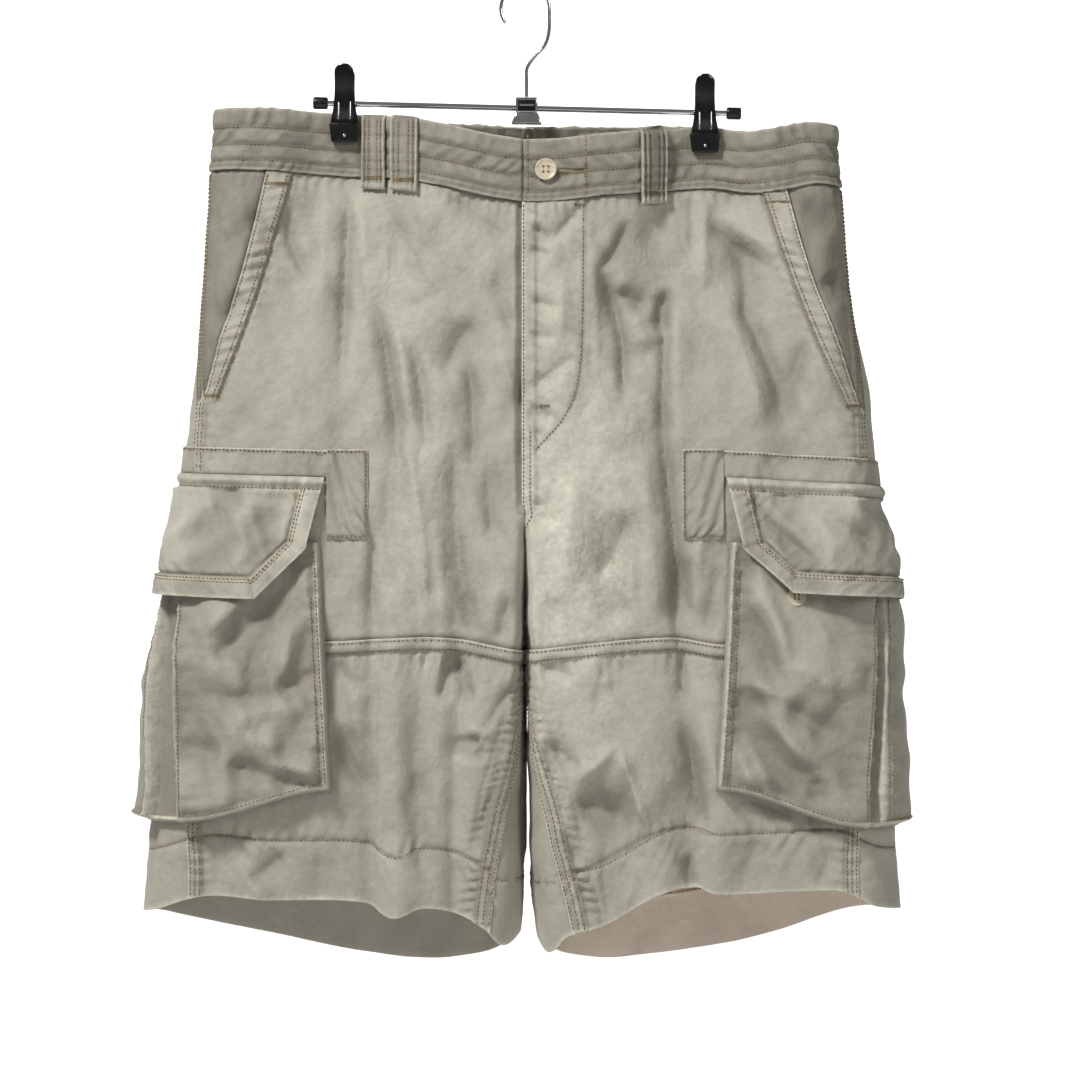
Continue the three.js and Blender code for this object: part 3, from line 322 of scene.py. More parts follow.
# The creases that wearing, washing and hanging leave in the cloth, on the face that each lies on:
# a ridge, or a trough where the height is negative, with its middle pushed sideways by its bow
creases = table(
    "face x z to_x to_z width height bow",
    ("front", -129, -142, -135, -296, 3.4, -1.6, 1),
    ("front", -173, -160, -160, -216, 4.5, -1.3, 6),
    ("front", -146, -150, -150, -250, 9, 1.0, 0),
    ("front", -96, -190, -98.5, -222, 3, -1.1, 0),
    ("front", -121, -150, -113, -240, 6, 0.9, 2),
    ("front", -109.5, -240, -92.7, -352, 5, -2.6, -2),
    ("front", -97, -240, -84, -330, 6, 2.0, -2),
    ("front", -83, -268, -72, -345, 5, -2.2, -2),
    ("front", -42, -276, -38, -360, 6, -2.2, -2),
    ("front", -37, -250, -60, -290, 10, -2.4, 3),
    ("front", -20, -272, -8, -306, 6, 1.8, -2),
    ("front", -60, -156, -14, -190, 5, -0.9, 0),
    ("front", -102, -165, -64, -236, 7, -0.9, 3),
    ("front", -80, -160, -30, -222, 8, 0.8, 3),
    ("front", -88, -240, -60, -226, 6, -0.7, 2),
    ("front", -22, -215, -8, -262, 6, -1.2, 0),
    ("front", -205, -170, -182, -190, 7, -1.2, 0),
    ("front", -225, -250, -206, -230, 7, -1.6, 0),
    ("front", -87, -335, -72, -478, 4, 1.8, -4),
    ("front", -100, -350, -96, -470, 6, -1.4, 2),
    ("front", -112, -405, -112, -478, 3, -1.6, 0),
    ("front", -52, -335, -40, -480, 8, -2.4, 4),
    ("front", -64, -400, -58, -480, 7, 1.4, 0),
    ("front", -28, -350, -24, -420, 7, -1.6, 0),
    ("front", -41, -446, -41, -482, 3, -1.2, 0),
    ("front", -20, -440, -26, -482, 6, 1.4, 0),
    ("front", -12, -452, -18, -486, 4, -1.0, 0),
    ("front", -53, -492, -62, -530, 4, -2.4, 0),
    ("front", -53, -492, -40, -530, 4, -2.4, 0),
    ("front", -51, -500, -50, -560, 7, 1.2, 0),
    ("front", -4, -513, -35, -557, 4.5, -2.0, 0),
    ("front", -10, -525, -42, -570, 5, 1.6, 0),
    ("front", -37, -552, -36, -572, 9, -2.6, 0),
    ("front", -18, -590, -40, -640, 7, -1.6, 3),
    ("front", -139, -545, -113, -594, 7, -2.4, 3),
    ("front", -128, -498, -120, -560, 8, 1.6, 0),
    ("front", -104, -500, -106, -665, 3, 1.2, 0),
    ("front", -76, -520, -76, -660, 8, -1.4, 2),
    ("front", -142, -500, -118, -520, 6, -1.4, 0),
    ("front", -175, -640, -200, -660, 8, -1.8, 0),
    ("front", -210, -645, -190, -676, 6, 1.4, 0),
    ("front", -150, -640, -152, -676, 8, -1.0, 0),
    ("front", -252, -640, -236, -676, 7, -1.6, 0),
    ("front", 76, -177, 56, -212, 5, -2.2, -2),
    ("front", 56, -212, 72, -308, 5, -3.0, -6),
    ("front", 46, -180, 52, -300, 8, 1.5, -3),
    ("front", 68, -228, 90, -240, 6, -2.4, -2),
    ("front", 104, -226, 98, -258, 5, -2.8, 0),
    ("front", 80, -243, 90, -270, 8, 1.8, 0),
    ("front", 104, -240, 101, -352, 4, -2.2, 1),
    ("front", 112, -240, 112, -352, 8, 1.2, 1),
    ("front", 102, -337, 112, -484, 4.5, -3.0, -2),
    ("front", 88, -340, 96, -478, 8, 1.2, 0),
    ("front", 136, -178, 176, -208, 5, -1.8, 0),
    ("front", 140, -168, 184, -198, 7, 1.2, 0),
    ("front", 158, -190, 161, -258, 8, -1.8, -3),
    ("front", 162, -240, 193, -328, 7, -2.6, -3),
    ("front", 146, -235, 176, -330, 9, 1.4, -3),
    ("front", 207, -264, 192, -300, 6, -1.4, 0),
    ("front", 134, -152, 131, -225, 4, 0.9, 0),
    ("front", 122, -152, 124, -200, 4, -0.9, 0),
    ("front", 205, -160, 226, -180, 7, -1.4, 0),
    ("front", 222, -215, 236, -232, 8, -1.8, 0),
    ("front", 5, -180, 20, -192, 4, -1.3, 0),
    ("front", 20, -192, 41, -165, 4, -1.3, 0),
    ("front", 4, -196, 18, -202, 3.5, -1.0, 0),
    ("front", 4, -236, 26, -240, 4, -1.0, 0),
    ("front", 4, -258, 22, -262, 4, -0.9, 0),
    ("front", 4, -300, 36, -276, 5, -1.4, 0),
    ("front", 3, -314, 20, -322, 4, -1.4, 0),
    ("front", 28, -214, 26, -262, 7, 1.2, 0),
    ("front", 64, -352, 76, -398, 9, 1.5, 0),
    ("front", 76, -392, 52, -442, 10, -3.0, -3),
    ("front", 78, -388, 78, -470, 3, 1.4, 0),
    ("front", 56, -440, 74, -470, 8, -1.8, 0),
    ("front", 18, -452, 42, -481, 5, -1.2, 0),
    ("front", 36, -360, 30, -440, 10, 1.6, 0),
    ("front", 10, -380, 22, -400, 5, -1.2, 0),
    ("front", 130, -400, 122, -478, 6, 1.8, 0),
    ("front", 112, -418, 124, -478, 6, -2.2, 0),
    ("front", 142, -430, 132, -478, 6, -1.4, 0),
    ("front", 12, -500, 34, -512, 5, -1.8, 0),
    ("front", 46, -496, 62, -520, 6, 1.4, 0),
    ("front", 62, -496, 52, -540, 6, -1.2, 2),
    ("front", 115, -490, 116, -530, 3, -1.6, 0),
    ("front", 117, -545, 131, -620, 5, -3.0, 0),
    ("front", 132, -540, 146, -610, 8, 1.6, 0),
    ("front", 36, -603, 78, -618, 15, -4.2, -4),
    ("front", 69, -560, 90, -620, 3.6, 2.6, 0),
    ("front", 40, -585, 66, -560, 6, 2.0, 2),
    ("front", 15, -558, 40, -578, 6, -2.0, 0),
    ("front", 24, -625, 40, -645, 6, -1.4, 0),
    ("front", 56, -640, 60, -688, 5, -1.0, 0),
    ("front", 84, -640, 72, -684, 5, 1.0, 0),
    ("front", 118, -640, 122, -664, 4, -1.6, 0),
    ("front", 170, -628, 158, -664, 8, -1.0, 0),
    ("front", 226, -634, 214, -664, 7, -1.4, 0),
    ("front", 196, -612, 160, -598, 7, -1.4, 0),
    ("back", -40, -160, -20, -260, 8, -1.6, 3),
    ("back", 42, -165, 22, -280, 8, -1.8, -3),
    ("back", -120, -150, -130, -300, 8, -1.4, 0),
    ("back", 126, -155, 118, -290, 7, -1.6, 0),
    ("back", -180, -170, -140, -230, 8, -1.2, 4),
    ("back", 188, -180, 150, -236, 9, -1.4, 4),
    ("back", -12, -300, -60, -370, 8, -2.2, 3),
    ("back", 10, -310, 66, -362, 8, -2.2, -3),
    ("back", -16, -350, -96, -420, 9, -2.4, 5),
    ("back", 18, -356, 90, -432, 9, -2.4, -5),
    ("back", -30, -400, -60, -470, 9, 1.8, 0),
    ("back", 34, -402, 66, -480, 9, 1.8, 0),
    ("back", -110, -300, -120, -520, 7, -1.8, 3),
    ("back", 118, -290, 126, -510, 7, -1.8, 0),
    ("back", -200, -380, -190, -560, 10, -1.6, 0),
    ("back", 202, -360, 196, -540, 10, -1.6, 0),
    ("back", -104, -520, -100, -690, 7, 1.8, 0),
    ("back", 112, -500, 108, -690, 7, 1.8, 0),
    ("back", -30, -500, -34, -680, 6, -1.8, 2),
    ("back", 36, -500, 34, -690, 6, -1.8, 0),
    ("back", -180, -560, -230, -640, 9, -1.6, 3),
    ("back", 190, -560, 236, -630, 9, -1.6, -3),
)


def crease_field(rows, x, z):
    push = np.zeros(np.broadcast(x, z).shape)
    for row in rows:
        run = np.array([row["to_x"] - row["x"], row["to_z"] - row["z"]], float)
        length = np.hypot(*run)
        away_x, away_z = x - row["x"], z - row["z"]
        along = (away_x * run[0] + away_z * run[1]) / length**2
        bowed = row["bow"] * np.sin(math.pi * np.clip(along, 0, 1))
        across = (away_x * run[1] - away_z * run[0]) / length - bowed
        taper = smooth((along + 0.12) / 0.42) * smooth((1.12 - along) / 0.42)
        thin = row["width"] * 1.15 * mix(0.7, 1, taper)
        push += row["height"] * taper * np.exp(-(np.abs(across / thin) ** 1.3))
    return push


# Slow unevenness of the washed cloth, and the small ripples that a sewn line gathers beside it
def unevenness(x, z):
    return (
        1.3 * np.sin(x / 17 + 1.3 * np.sin(z / 41))
        + 0.6 * np.sin(z / 23 + 1.1 * np.sin(x / 33) + 0.7)
        + 0.75 * np.sin((x + 0.3 * z) / 9.3 + 1.4 * np.sin((x - z) / 39))
        + 0.42 * np.sin((x - 0.5 * z) / 6.1 + 1.7 * np.sin(z / 21))
        + 0.26 * np.sin((1.2 * x + 0.4 * z) / 3.6 + 1.5 * np.sin(z / 13 + x / 19))
    )


def ripples(along, across, pitch, height, reach):
    wander = 1.6 * np.sin(along / 31) + 0.9 * np.sin(along / 12.7 + 1)
    size = 0.65 + 0.35 * np.sin(along / 17.3 + 2)
    return height * size * np.sin(2 * math.pi * along / pitch + wander) * np.exp(-((across / reach) ** 2))


def tucks(along, across, pitch, height, reach):
    """Narrow creases across a sewn line, at uneven distances and of uneven depth"""
    place = along / pitch + 0.35 * np.sin(along / 23) + 0.2 * np.sin(along / 9.1 + 2)
    near = np.round(place)
    depth = 0.2 + 0.8 * np.abs(np.sin(near * 12.9898))
    return -height * depth * np.exp(-(((place - near) / 0.17) ** 2) - (across / reach) ** 2)


def body_relief(side, z, arc):
    x = read_net(nets[side]["net"], z, arc)[..., 0]
    push = 1.1 * unevenness(x, z)
    for face, there in (("front", arc >= 0), ("back", arc < 0)):
        rows = [row for row in creases if row["face"] == face]
        push = push + np.where(there, 2.8 * crease_field(rows, x, z), 0)
    held = smooth((-z - 138) / 26)
    return push * held


# Washed cotton twill in pale stone khaki, the cloth of every sewn piece. Fine diagonal ribs run across
# it, the colour is mottled by washing and paler along worn edges and seams, and a painted shading
# attribute darkens it with painted shade in hollows, grooves and recesses and lightens it with painted
# highlight on the crests of creases.
def new_group(name, inputs, outputs):
    group = bpy.data.node_groups.new(name, "ShaderNodeTree")
    for label, kind, value in inputs:
        socket = group.interface.new_socket(name=label, in_out="INPUT", socket_type=kind)
        socket.default_value = value
    for label, kind in outputs:
        group.interface.new_socket(name=label, in_out="OUTPUT", socket_type=kind)
    return group, group.nodes.new("NodeGroupInput"), group.nodes.new("NodeGroupOutput")


def wire(tree, kind, links=None, **settings):
    node = tree.nodes.new(kind)
    for key, value in settings.items():
        setattr(node, key, value)
    for socket, value in (links or {}).items():
        if isinstance(value, bpy.types.NodeSocket):
            tree.links.new(value, node.inputs[socket])
        else:
            node.inputs[socket].default_value = value
    return node


def math_node(tree, operation, first, second=0.0, clamp=False):
    inputs = {0: first, 1: second}
    return wire(tree, "ShaderNodeMath", inputs, operation=operation, use_clamp=clamp).outputs[0]


def blend_colours(tree, share, first, second, mode="MIX"):
    node = wire(tree, "ShaderNodeMix", {0: share, 6: first, 7: second}, data_type="RGBA", blend_type=mode)
    return node.outputs[2]


def noise(tree, place, scale, detail=3.0, roughness=0.5):
    inputs = {"Vector": place, "Scale": scale, "Detail": detail, "Roughness": roughness}
    node = wire(tree, "ShaderNodeTexNoise", inputs)
    return node.outputs["Fac"]


def between(tree, value, low, high):
    node = wire(tree, "ShaderNodeMapRange", {"Value": value, "From Min": low, "From Max": high})
    return node.outputs["Result"]


weave, weave_in, weave_out = new_group(
    "Washed twill",
    [
        ("Colour", "NodeSocketColor", (0.4, 0.38, 0.31, 1)),
        ("Faded and highlit", "NodeSocketColor", (0.6, 0.57, 0.48, 1)),
        ("Shadowed", "NodeSocketColor", (0.25, 0.23, 0.18, 1)),
        ("Crinkle", "NodeSocketFloat", 1.0),
    ],
    [("Colour", "NodeSocketColor"), ("Roughness", "NodeSocketFloat"), ("Normal", "NodeSocketVector")],
)
flat_place = wire(weave, "ShaderNodeUVMap", uv_map="cloth").outputs["UV"]
solid_place = wire(weave, "ShaderNodeTexCoord").outputs["Object"]
wear = wire(weave, "ShaderNodeAttribute", attribute_name="wear").outputs["Fac"]
crest = wire(weave, "ShaderNodeAttribute", attribute_name="crest").outputs["Fac"]
twill_turn = (0, 0, math.radians(63))
turned = wire(weave, "ShaderNodeMapping", {"Vector": flat_place, "Rotation": twill_turn}).outputs[0]
ribs = wire(
    weave, "ShaderNodeTexWave",
    {"Vector": turned, "Scale": 430.0, "Distortion": 1.2, "Detail": 2.0, "Detail Scale": 3.0},
).outputs["Fac"]
stretched = wire(weave, "ShaderNodeMapping", {"Vector": flat_place, "Scale": (1, 0.12, 1)}).outputs[0]
slub = noise(weave, stretched, 1500.0, 2.0, 0.6)
cloud = noise(weave, solid_place, 26.0, 4.0, 0.6)
fleck = noise(weave, solid_place, 210.0, 4.0, 0.65)
dappled = math_node(weave, "MULTIPLY", cloud, 0.6)
dappled = math_node(weave, "ADD", dappled, math_node(weave, "MULTIPLY", fleck, 0.4))
mottle = between(weave, dappled, 0.36, 0.64)
ground = blend_colours(
    weave, math_node(weave, "MULTIPLY", mottle, 0.36), weave_in.outputs["Colour"], weave_in.outputs["Faded and highlit"],
)
yarn = math_node(weave, "MULTIPLY", ribs, 0.5)
yarn = math_node(weave, "ADD", yarn, math_node(weave, "MULTIPLY", slub, 0.5))
yarned = blend_colours(
    weave, math_node(weave, "MULTIPLY", between(weave, yarn, 0.62, 0.3), 0.36), ground,
    weave_in.outputs["Shadowed"],
)
# Painted shade: where the painted shading value is low (hollows, seam grooves, recesses, steep slopes) the
# colour is blended towards the shadowed tone
hollow_shade = between(weave, crest, 0.45, -0.1)
hollows_shaded = blend_colours(
    weave, math_node(weave, "MULTIPLY", hollow_shade, 0.5), yarned, weave_in.outputs["Shadowed"],
)
rubbed = math_node(weave, "MULTIPLY", wear, between(weave, fleck, 0.05, 0.68))
# Real wear pales the rubbed edges; painted highlight pales the crests where the painted shading value is high
crested = math_node(weave, "MULTIPLY", between(weave, crest, 0.6, 1.3), 0.6)
wear_and_highlight = math_node(weave, "MAXIMUM", rubbed, crested, True)
weave.links.new(blend_colours(weave, wear_and_highlight, hollows_shaded, weave_in.outputs["Faded and highlit"]), weave_out.inputs["Colour"])
weave.links.new(between(weave, mottle, -1.5, 1.6), weave_out.inputs["Roughness"])
hung_place = wire(weave, "ShaderNodeMapping", {"Vector": solid_place, "Scale": (1, 1, 0.6)}).outputs[0]
veins = math_node(weave, "SUBTRACT", noise(weave, hung_place, 52.0, 2.5, 0.45), 0.5)
veins = math_node(weave, "ABSOLUTE", veins)
patches = between(weave, noise(weave, solid_place, 15.0, 2.0, 0.5), 0.38, 0.6)
sharp = math_node(weave, "MULTIPLY", between(weave, veins, 0.0, 0.065), patches)
crumple = noise(weave, solid_place, 75.0, 5.0, 0.55)
crumple = math_node(weave, "ADD", crumple, math_node(weave, "MULTIPLY", sharp, 0.14))
crumple_depth = math_node(weave, "MULTIPLY", weave_in.outputs["Crinkle"], 0.003)
soft_bump = wire(
    weave, "ShaderNodeBump",
    {"Height": crumple, "Strength": 0.5, "Distance": crumple_depth},
)
rib_bump = wire(
    weave, "ShaderNodeBump",
    {"Height": yarn, "Strength": 0.45, "Distance": 0.00022, "Normal": soft_bump.outputs["Normal"]},
)
weave.links.new(rib_bump.outputs["Normal"], weave_out.inputs["Normal"])


def principled(name, values):
    made = bpy.data.materials.new(name)
    made.use_nodes = True
    shader = made.node_tree.nodes["Principled BSDF"]
    for label, value in values.items():
        shader.inputs[label].default_value = value
    return made, shader


def twill(name, colour, faded_and_highlit, shadowed, crinkle):
    made, shader = principled(name, {"Sheen Weight": 0.1, "Sheen Roughness": 0.5, "Specular IOR Level": 0.22})
    tree = made.node_tree
    values = {"Colour": colour, "Faded and highlit": faded_and_highlit, "Shadowed": shadowed, "Crinkle": crinkle}
    cloth = wire(tree, "ShaderNodeGroup", node_tree=weave)
    for label, value in values.items():
        cloth.inputs[label].default_value = value
    for label, socket in (("Colour", "Base Color"), ("Roughness", "Roughness"), ("Normal", "Normal")):
        tree.links.new(cloth.outputs[label], shader.inputs[socket])
    return made


panel_twill = twill(
    "Panel twill", (0.405, 0.382, 0.313, 1), (0.68, 0.65, 0.545, 1), (0.13, 0.118, 0.088, 1), 1.25,
)
trim_twill = twill(
    "Trim twill", (0.285, 0.266, 0.214, 1), (0.53, 0.5, 0.415, 1), (0.09, 0.081, 0.061, 1), 0.9,
)
# The inside of the cloth, a little paler than its face. The left leg's copy is much paler and warmer: painted
# light, for the light that reaches into that leg's hem
inner_twill = {
    "right": twill("Inner twill", (0.5, 0.46, 0.385, 1), (0.62, 0.575, 0.48, 1), (0.22, 0.2, 0.155, 1), 0.8),
    "left": twill(
        "Lit inner twill", (0.88, 0.765, 0.64, 1), (0.84, 0.745, 0.63, 1), (0.32, 0.27, 0.21, 1), 0.8,
    ),
}


def drop_selection():
    if bpy.context.object and bpy.context.object.mode != "OBJECT":
        bpy.ops.object.mode_set(mode="OBJECT")
    bpy.ops.object.select_all(action="DESELECT")


def only(piece):
    drop_selection()
    piece.select_set(True)
    bpy.context.view_layer.objects.active = piece


def shell(name, materials, side, z, arc, lift, wall=0.8, thick=None, worn=None, crest=None):
    """A cloth piece from its net of places, given its wall and a rounded cut edge"""
    points, normals = cloth_at(side, z, arc, lift)
    rows, columns = z.shape
    order = np.arange(rows * columns).reshape(rows, columns)
    quads = np.stack([order[:-1, :-1], order[:-1, 1:], order[1:, 1:], order[1:, :-1]], axis=2).reshape(-1, 4)
    across, down = points[1, 2] - points[1, 1], points[2, 1] - points[1, 1]
    if np.cross(across, down) @ normals[1, 1] < 0:
        quads = quads[:, ::-1]
    mesh = bpy.data.meshes.new(name)
    mesh.from_pydata((points.reshape(-1, 3) / 1000).tolist(), [], quads.tolist())
    places = np.stack([arc.ravel(), z.ravel()], axis=1) / 1000
    uv = mesh.uv_layers.new(name="cloth")
    uv.data.foreach_set("uv", places[quads.ravel()].ravel())
    steps = [np.linalg.norm(np.gradient(points, axis=axis), axis=2) for axis in (0, 1)]
    steep = np.hypot(*[np.gradient(lift, axis=axis) / steps[axis] for axis in (0, 1)])
    # Painted shade on steep slopes: the shading value drops where the lift climbs fast
    crest = (0.5 if crest is None else crest) - 0.4 * smooth(steep / 0.9)
    for label, values in (("wear", worn), ("crest", crest)):
        layer = mesh.attributes.new(label, "FLOAT", "POINT")
        filled = 0 * z if values is None else values
        layer.data.foreach_set("value", np.ascontiguousarray(filled, np.float32).ravel())
    piece = bpy.data.objects.new(name, mesh)
    bpy.context.collection.objects.link(piece)
    only(piece)
    for material in materials:
        mesh.materials.append(material)
    solid = piece.modifiers.new("wall", "SOLIDIFY")
    solid.offset = -1
    solid.material_offset = 1
    solid.thickness = wall / 1000
    if thick is not None:
        group = piece.vertex_groups.new(name="thick")
        for level in np.unique(np.round(thick, 1)):
            group.add(order[np.round(thick, 1) == level].ravel().tolist(), float(level), "REPLACE")
        solid.vertex_group = "thick"
        solid.thickness = 2 * wall / 1000
        solid.thickness_vertex_group = 0.5
    edge = piece.modifiers.new("edge", "BEVEL")
    edge.limit_method = "ANGLE"
    edge.angle_limit = math.radians(70)
    edge.width = wall * 0.42 / 1000
    edge.segments = 2
    for modifier in ("wall", "edge"):
        bpy.ops.object.modifier_apply(modifier=modifier)
    bpy.ops.object.shade_smooth_by_angle(angle=math.radians(60))
    return piece


def flat_size(points):
    """Longest row, longest column and area of a net of points, in metres"""
    points = points / 1000
    width = np.linalg.norm(np.diff(points, axis=1), axis=2).sum(axis=1).max()
    length = np.linalg.norm(np.diff(points, axis=0), axis=2).sum(axis=0).max()
    sides_of = points[1:, 1:] - points[:-1, :-1], points[1:, :-1] - points[:-1, 1:]
    area = np.linalg.norm(np.cross(*sides_of), axis=2).sum() / 2
    return (float(width), float(length)), float(min(area, width * length))


def cloth_piece(name, material, slot_name, nodes, side, z, arc, lift, inside=None, **options):
    piece = shell(name, (material, inside or material), side, z, arc, lift, **options)
    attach(piece, "root")
    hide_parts(*nodes)
    flat, area = flat_size(cloth_at(side, z, arc, 0 * z)[0])
    return piece


# Topstitching: lockstitches of tan cotton thread, 8 to the inch, pulled a little into the cloth.
# Each sewn row is laid on its own piece's face, and the rows of one area are joined in one mesh.
stitch_pitch = 3.1
stitch_length = 2.5
thread_width = 1.0
sewn = {"front": [], "back": [], "pockets": [], "waist": []}


def sew(area, side, z, arc, lift_of, pitch=stitch_pitch, length=stitch_length, width=thread_width):
    """Rows of places for single stitches along a path on the cloth, for joining later"""
    z, arc = np.broadcast_arrays(np.asarray(z, float), np.asarray(arc, float))
    points, normals = cloth_at(side, z, arc, lift_of(side, z, arc))
    run = np.concatenate([[0], np.cumsum(np.linalg.norm(np.diff(points, axis=0), axis=1))])
    count = int(run[-1] / pitch)
    if count < 1:
        return
    middles = (np.arange(count) + 0.5) * run[-1] / count
    at = lambda rows, where: np.stack([np.interp(where, run, rows[:, k]) for k in range(3)], axis=1)
    ahead = at(points, middles + 0.8) - at(points, middles - 0.8)
    ahead /= np.linalg.norm(ahead, axis=1, keepdims=True)
    out = at(normals, middles)
    out -= ahead * (out * ahead).sum(axis=1, keepdims=True)
    out /= np.linalg.norm(out, axis=1, keepdims=True)
    sewn[area].append((at(points, middles), ahead, out, length, width))


def groove(distance, width=1.3):
    """How much of the groove that a sewn row pulls into the cloth lies at a distance from it"""
    return np.exp(-((distance / width) ** 2))


def seam_path(start, end, steps=160):
    return np.linspace(start, end, steps)


# Front panels, above the thigh seam: one to each side, cut away at the hand pocket. The left one laps
# the right at the fly and carries its J, and the pocket edge is bound with a folded, topstitched band.
# Millimetres of relief for the full swing of painted shade and painted highlight
crest_scale = 17.0
seam_lines = {
    side: {"side": side_seam_arc(side, heights), "slant": slant_arc(side, heights)} for side in sides
}
strip_half = 5.0
strip_stand = 1.0
inseam_strip = 6.5
fly_width = table("z width", (-163.5, 43.5), (-260, 42), (-300, 37.5), (-322, 28), (-338, 14), (-349, 4))
fly_end = -349


def seam_arc(kind, side, z):
    return np.interp(-np.asarray(z, float), -heights, seam_lines[side][kind])


def band_width(z):
    return curve_at(slant, "z", "band", z)


def inner_edge(side, z):
    lap = 2.5 if side == "left" else 3.0
    above = smooth((z + 394) / 12)
    below = smooth((-z - 448) / 26)
    return front_length(side, z) - inseam_shift(z) + mix(0.2, lap, above) + (inseam_strip - 0.2) * below


def front_outer_edge(side, z):
    open_edge = seam_arc("slant", side, z)
    closed_edge = seam_arc("side", side, z) - strip_half
    share = smooth((z - slant_end[side] + 3) / 6)
    return mix(closed_edge, np.maximum(open_edge, closed_edge), share)


def fly_relief(side, z, arc):
    if side != "left":
        return 0 * arc
    away = front_length(side, z) - arc
    inside = curve_at(fly_width, "z", "width", z) - away
    return 0.55 * smooth(inside / 2.5 + 0.5) * smooth((z - fly_end + 2) / 4)


def front_lift(side, z, arc):
    relief = body_relief(side, z, arc)
    seam = arc - seam_arc("side", side, z)
    below_pocket = smooth((slant_end[side] - z) / 3)
    relief = relief * mix(1, 0.35 + 0.65 * smooth((seam - 6) / 12), below_pocket)
    relief += strip_stand * smooth((strip_half + 0.7 - seam) / 1.4) * below_pocket
    relief += (ripples(z, seam - strip_half, 8.5, 0.5, 9) + tucks(z, seam - 2, 9, 0.8, 7)) * below_pocket
    band = arc - seam_arc("slant", side, z)
    beside = (1 - below_pocket) * smooth((z + 330) / 8)
    on_band = smooth((band_width(z) - band) / 1.6 + 0.5) * beside
    rungs = ripples(z - 0.25 * band, band - band_width(z) / 2, 9.2, 1.0, 0.62 * band_width(z))
    rungs = rungs + tucks(z - 0.3 * band, band - band_width(z) / 2, 8.3, 1.0, 0.7 * band_width(z))
    relief += on_band * (1.7 + rungs)
    relief += ripples(z, band - band_width(z) - 2, 9.2, 0.5, 8) * beside * (1 - on_band)
    relief -= 0.8 * beside * (groove(band - 1.6) + groove(band - band_width(z) - 0.4, 1.6))
    centre = front_length(side, z) - inseam_shift(z) - arc
    above = smooth((z + 392) / 10)
    below = smooth((-z - 448) / 26)
    if side == "left":
        relief += above * smooth((8.2 - centre) / 1.4)
        relief += above * tucks(z + 0.4 * centre, centre - 7, 9.5, 1.3, 7)
        facing = curve_at(fly_width, "z", "width", z) - centre
        on_facing = smooth((z - fly_end) / 8) * smooth((-z - 160) / 6)
        relief += on_facing * tucks(z - 0.5 * facing, facing - 3, 10, 1.1, 8)
        relief = relief - 0.7 * on_facing * groove(facing - 0.4, 1.5)
    else:
        relief -= above * 2.2 * smooth((8.0 - centre) / 5)
    relief *= 1 - below * smooth((10 - centre) / 6) * 0.6
    relief += below * strip_stand * smooth((inseam_strip + 0.7 - centre) / 1.4)
    relief += below * ripples(z, centre - 9, 7.5, 0.7, 10)
    relief += below * tucks(z + 0.3 * centre, centre - 9, 6.2, 1.7, 10)
    relief = relief - 0.8 * below * groove(centre - inseam_strip - 11, 1.8)
    return relief + fly_relief(side, z, arc)


def panel_net(side, rows, columns, outer_edge, from_inner, top, bottom):
    share = np.linspace(0, 1, columns)
    share = mix(share, (1 - np.cos(math.pi * share)) / 2, 0.55)
    arc_at = lambda z: mix(from_inner(side, z), outer_edge(side, z), share)
    high, low = top(side, arc_at), bottom(side, arc_at)
    z = rows(high, low)
    return z, mix(from_inner(side, z), outer_edge(side, z), share), high, low


def even_rows(count):
    return lambda high, low: high + (low - high) * np.linspace(0, 1, count)[:, None]


seam_under = 7.0
under_band = 4.5


def thigh_fade(side, z, arc):
    """The paler middle of each thigh, most of all the wearer's left one"""
    x = read_net(nets[side]["net"], z, arc)[..., 0]
    middle, width, strength = (-70, 50, 0.3) if side == "right" else (30, 52, 0.9)
    return strength * np.exp(-(((x - middle) / width) ** 2) - ((z + 425) / 130) ** 2)


def under_waistband(z, arc, high):
    """Tucks a panel's top edge in below the waistband, and gathers the cloth under that seam"""
    below = high - under_band - z
    return ripples(arc, below, 8, 0.8, 11) * smooth(below / 3) - 1.3 * smooth((1.8 - below) / 2.2)


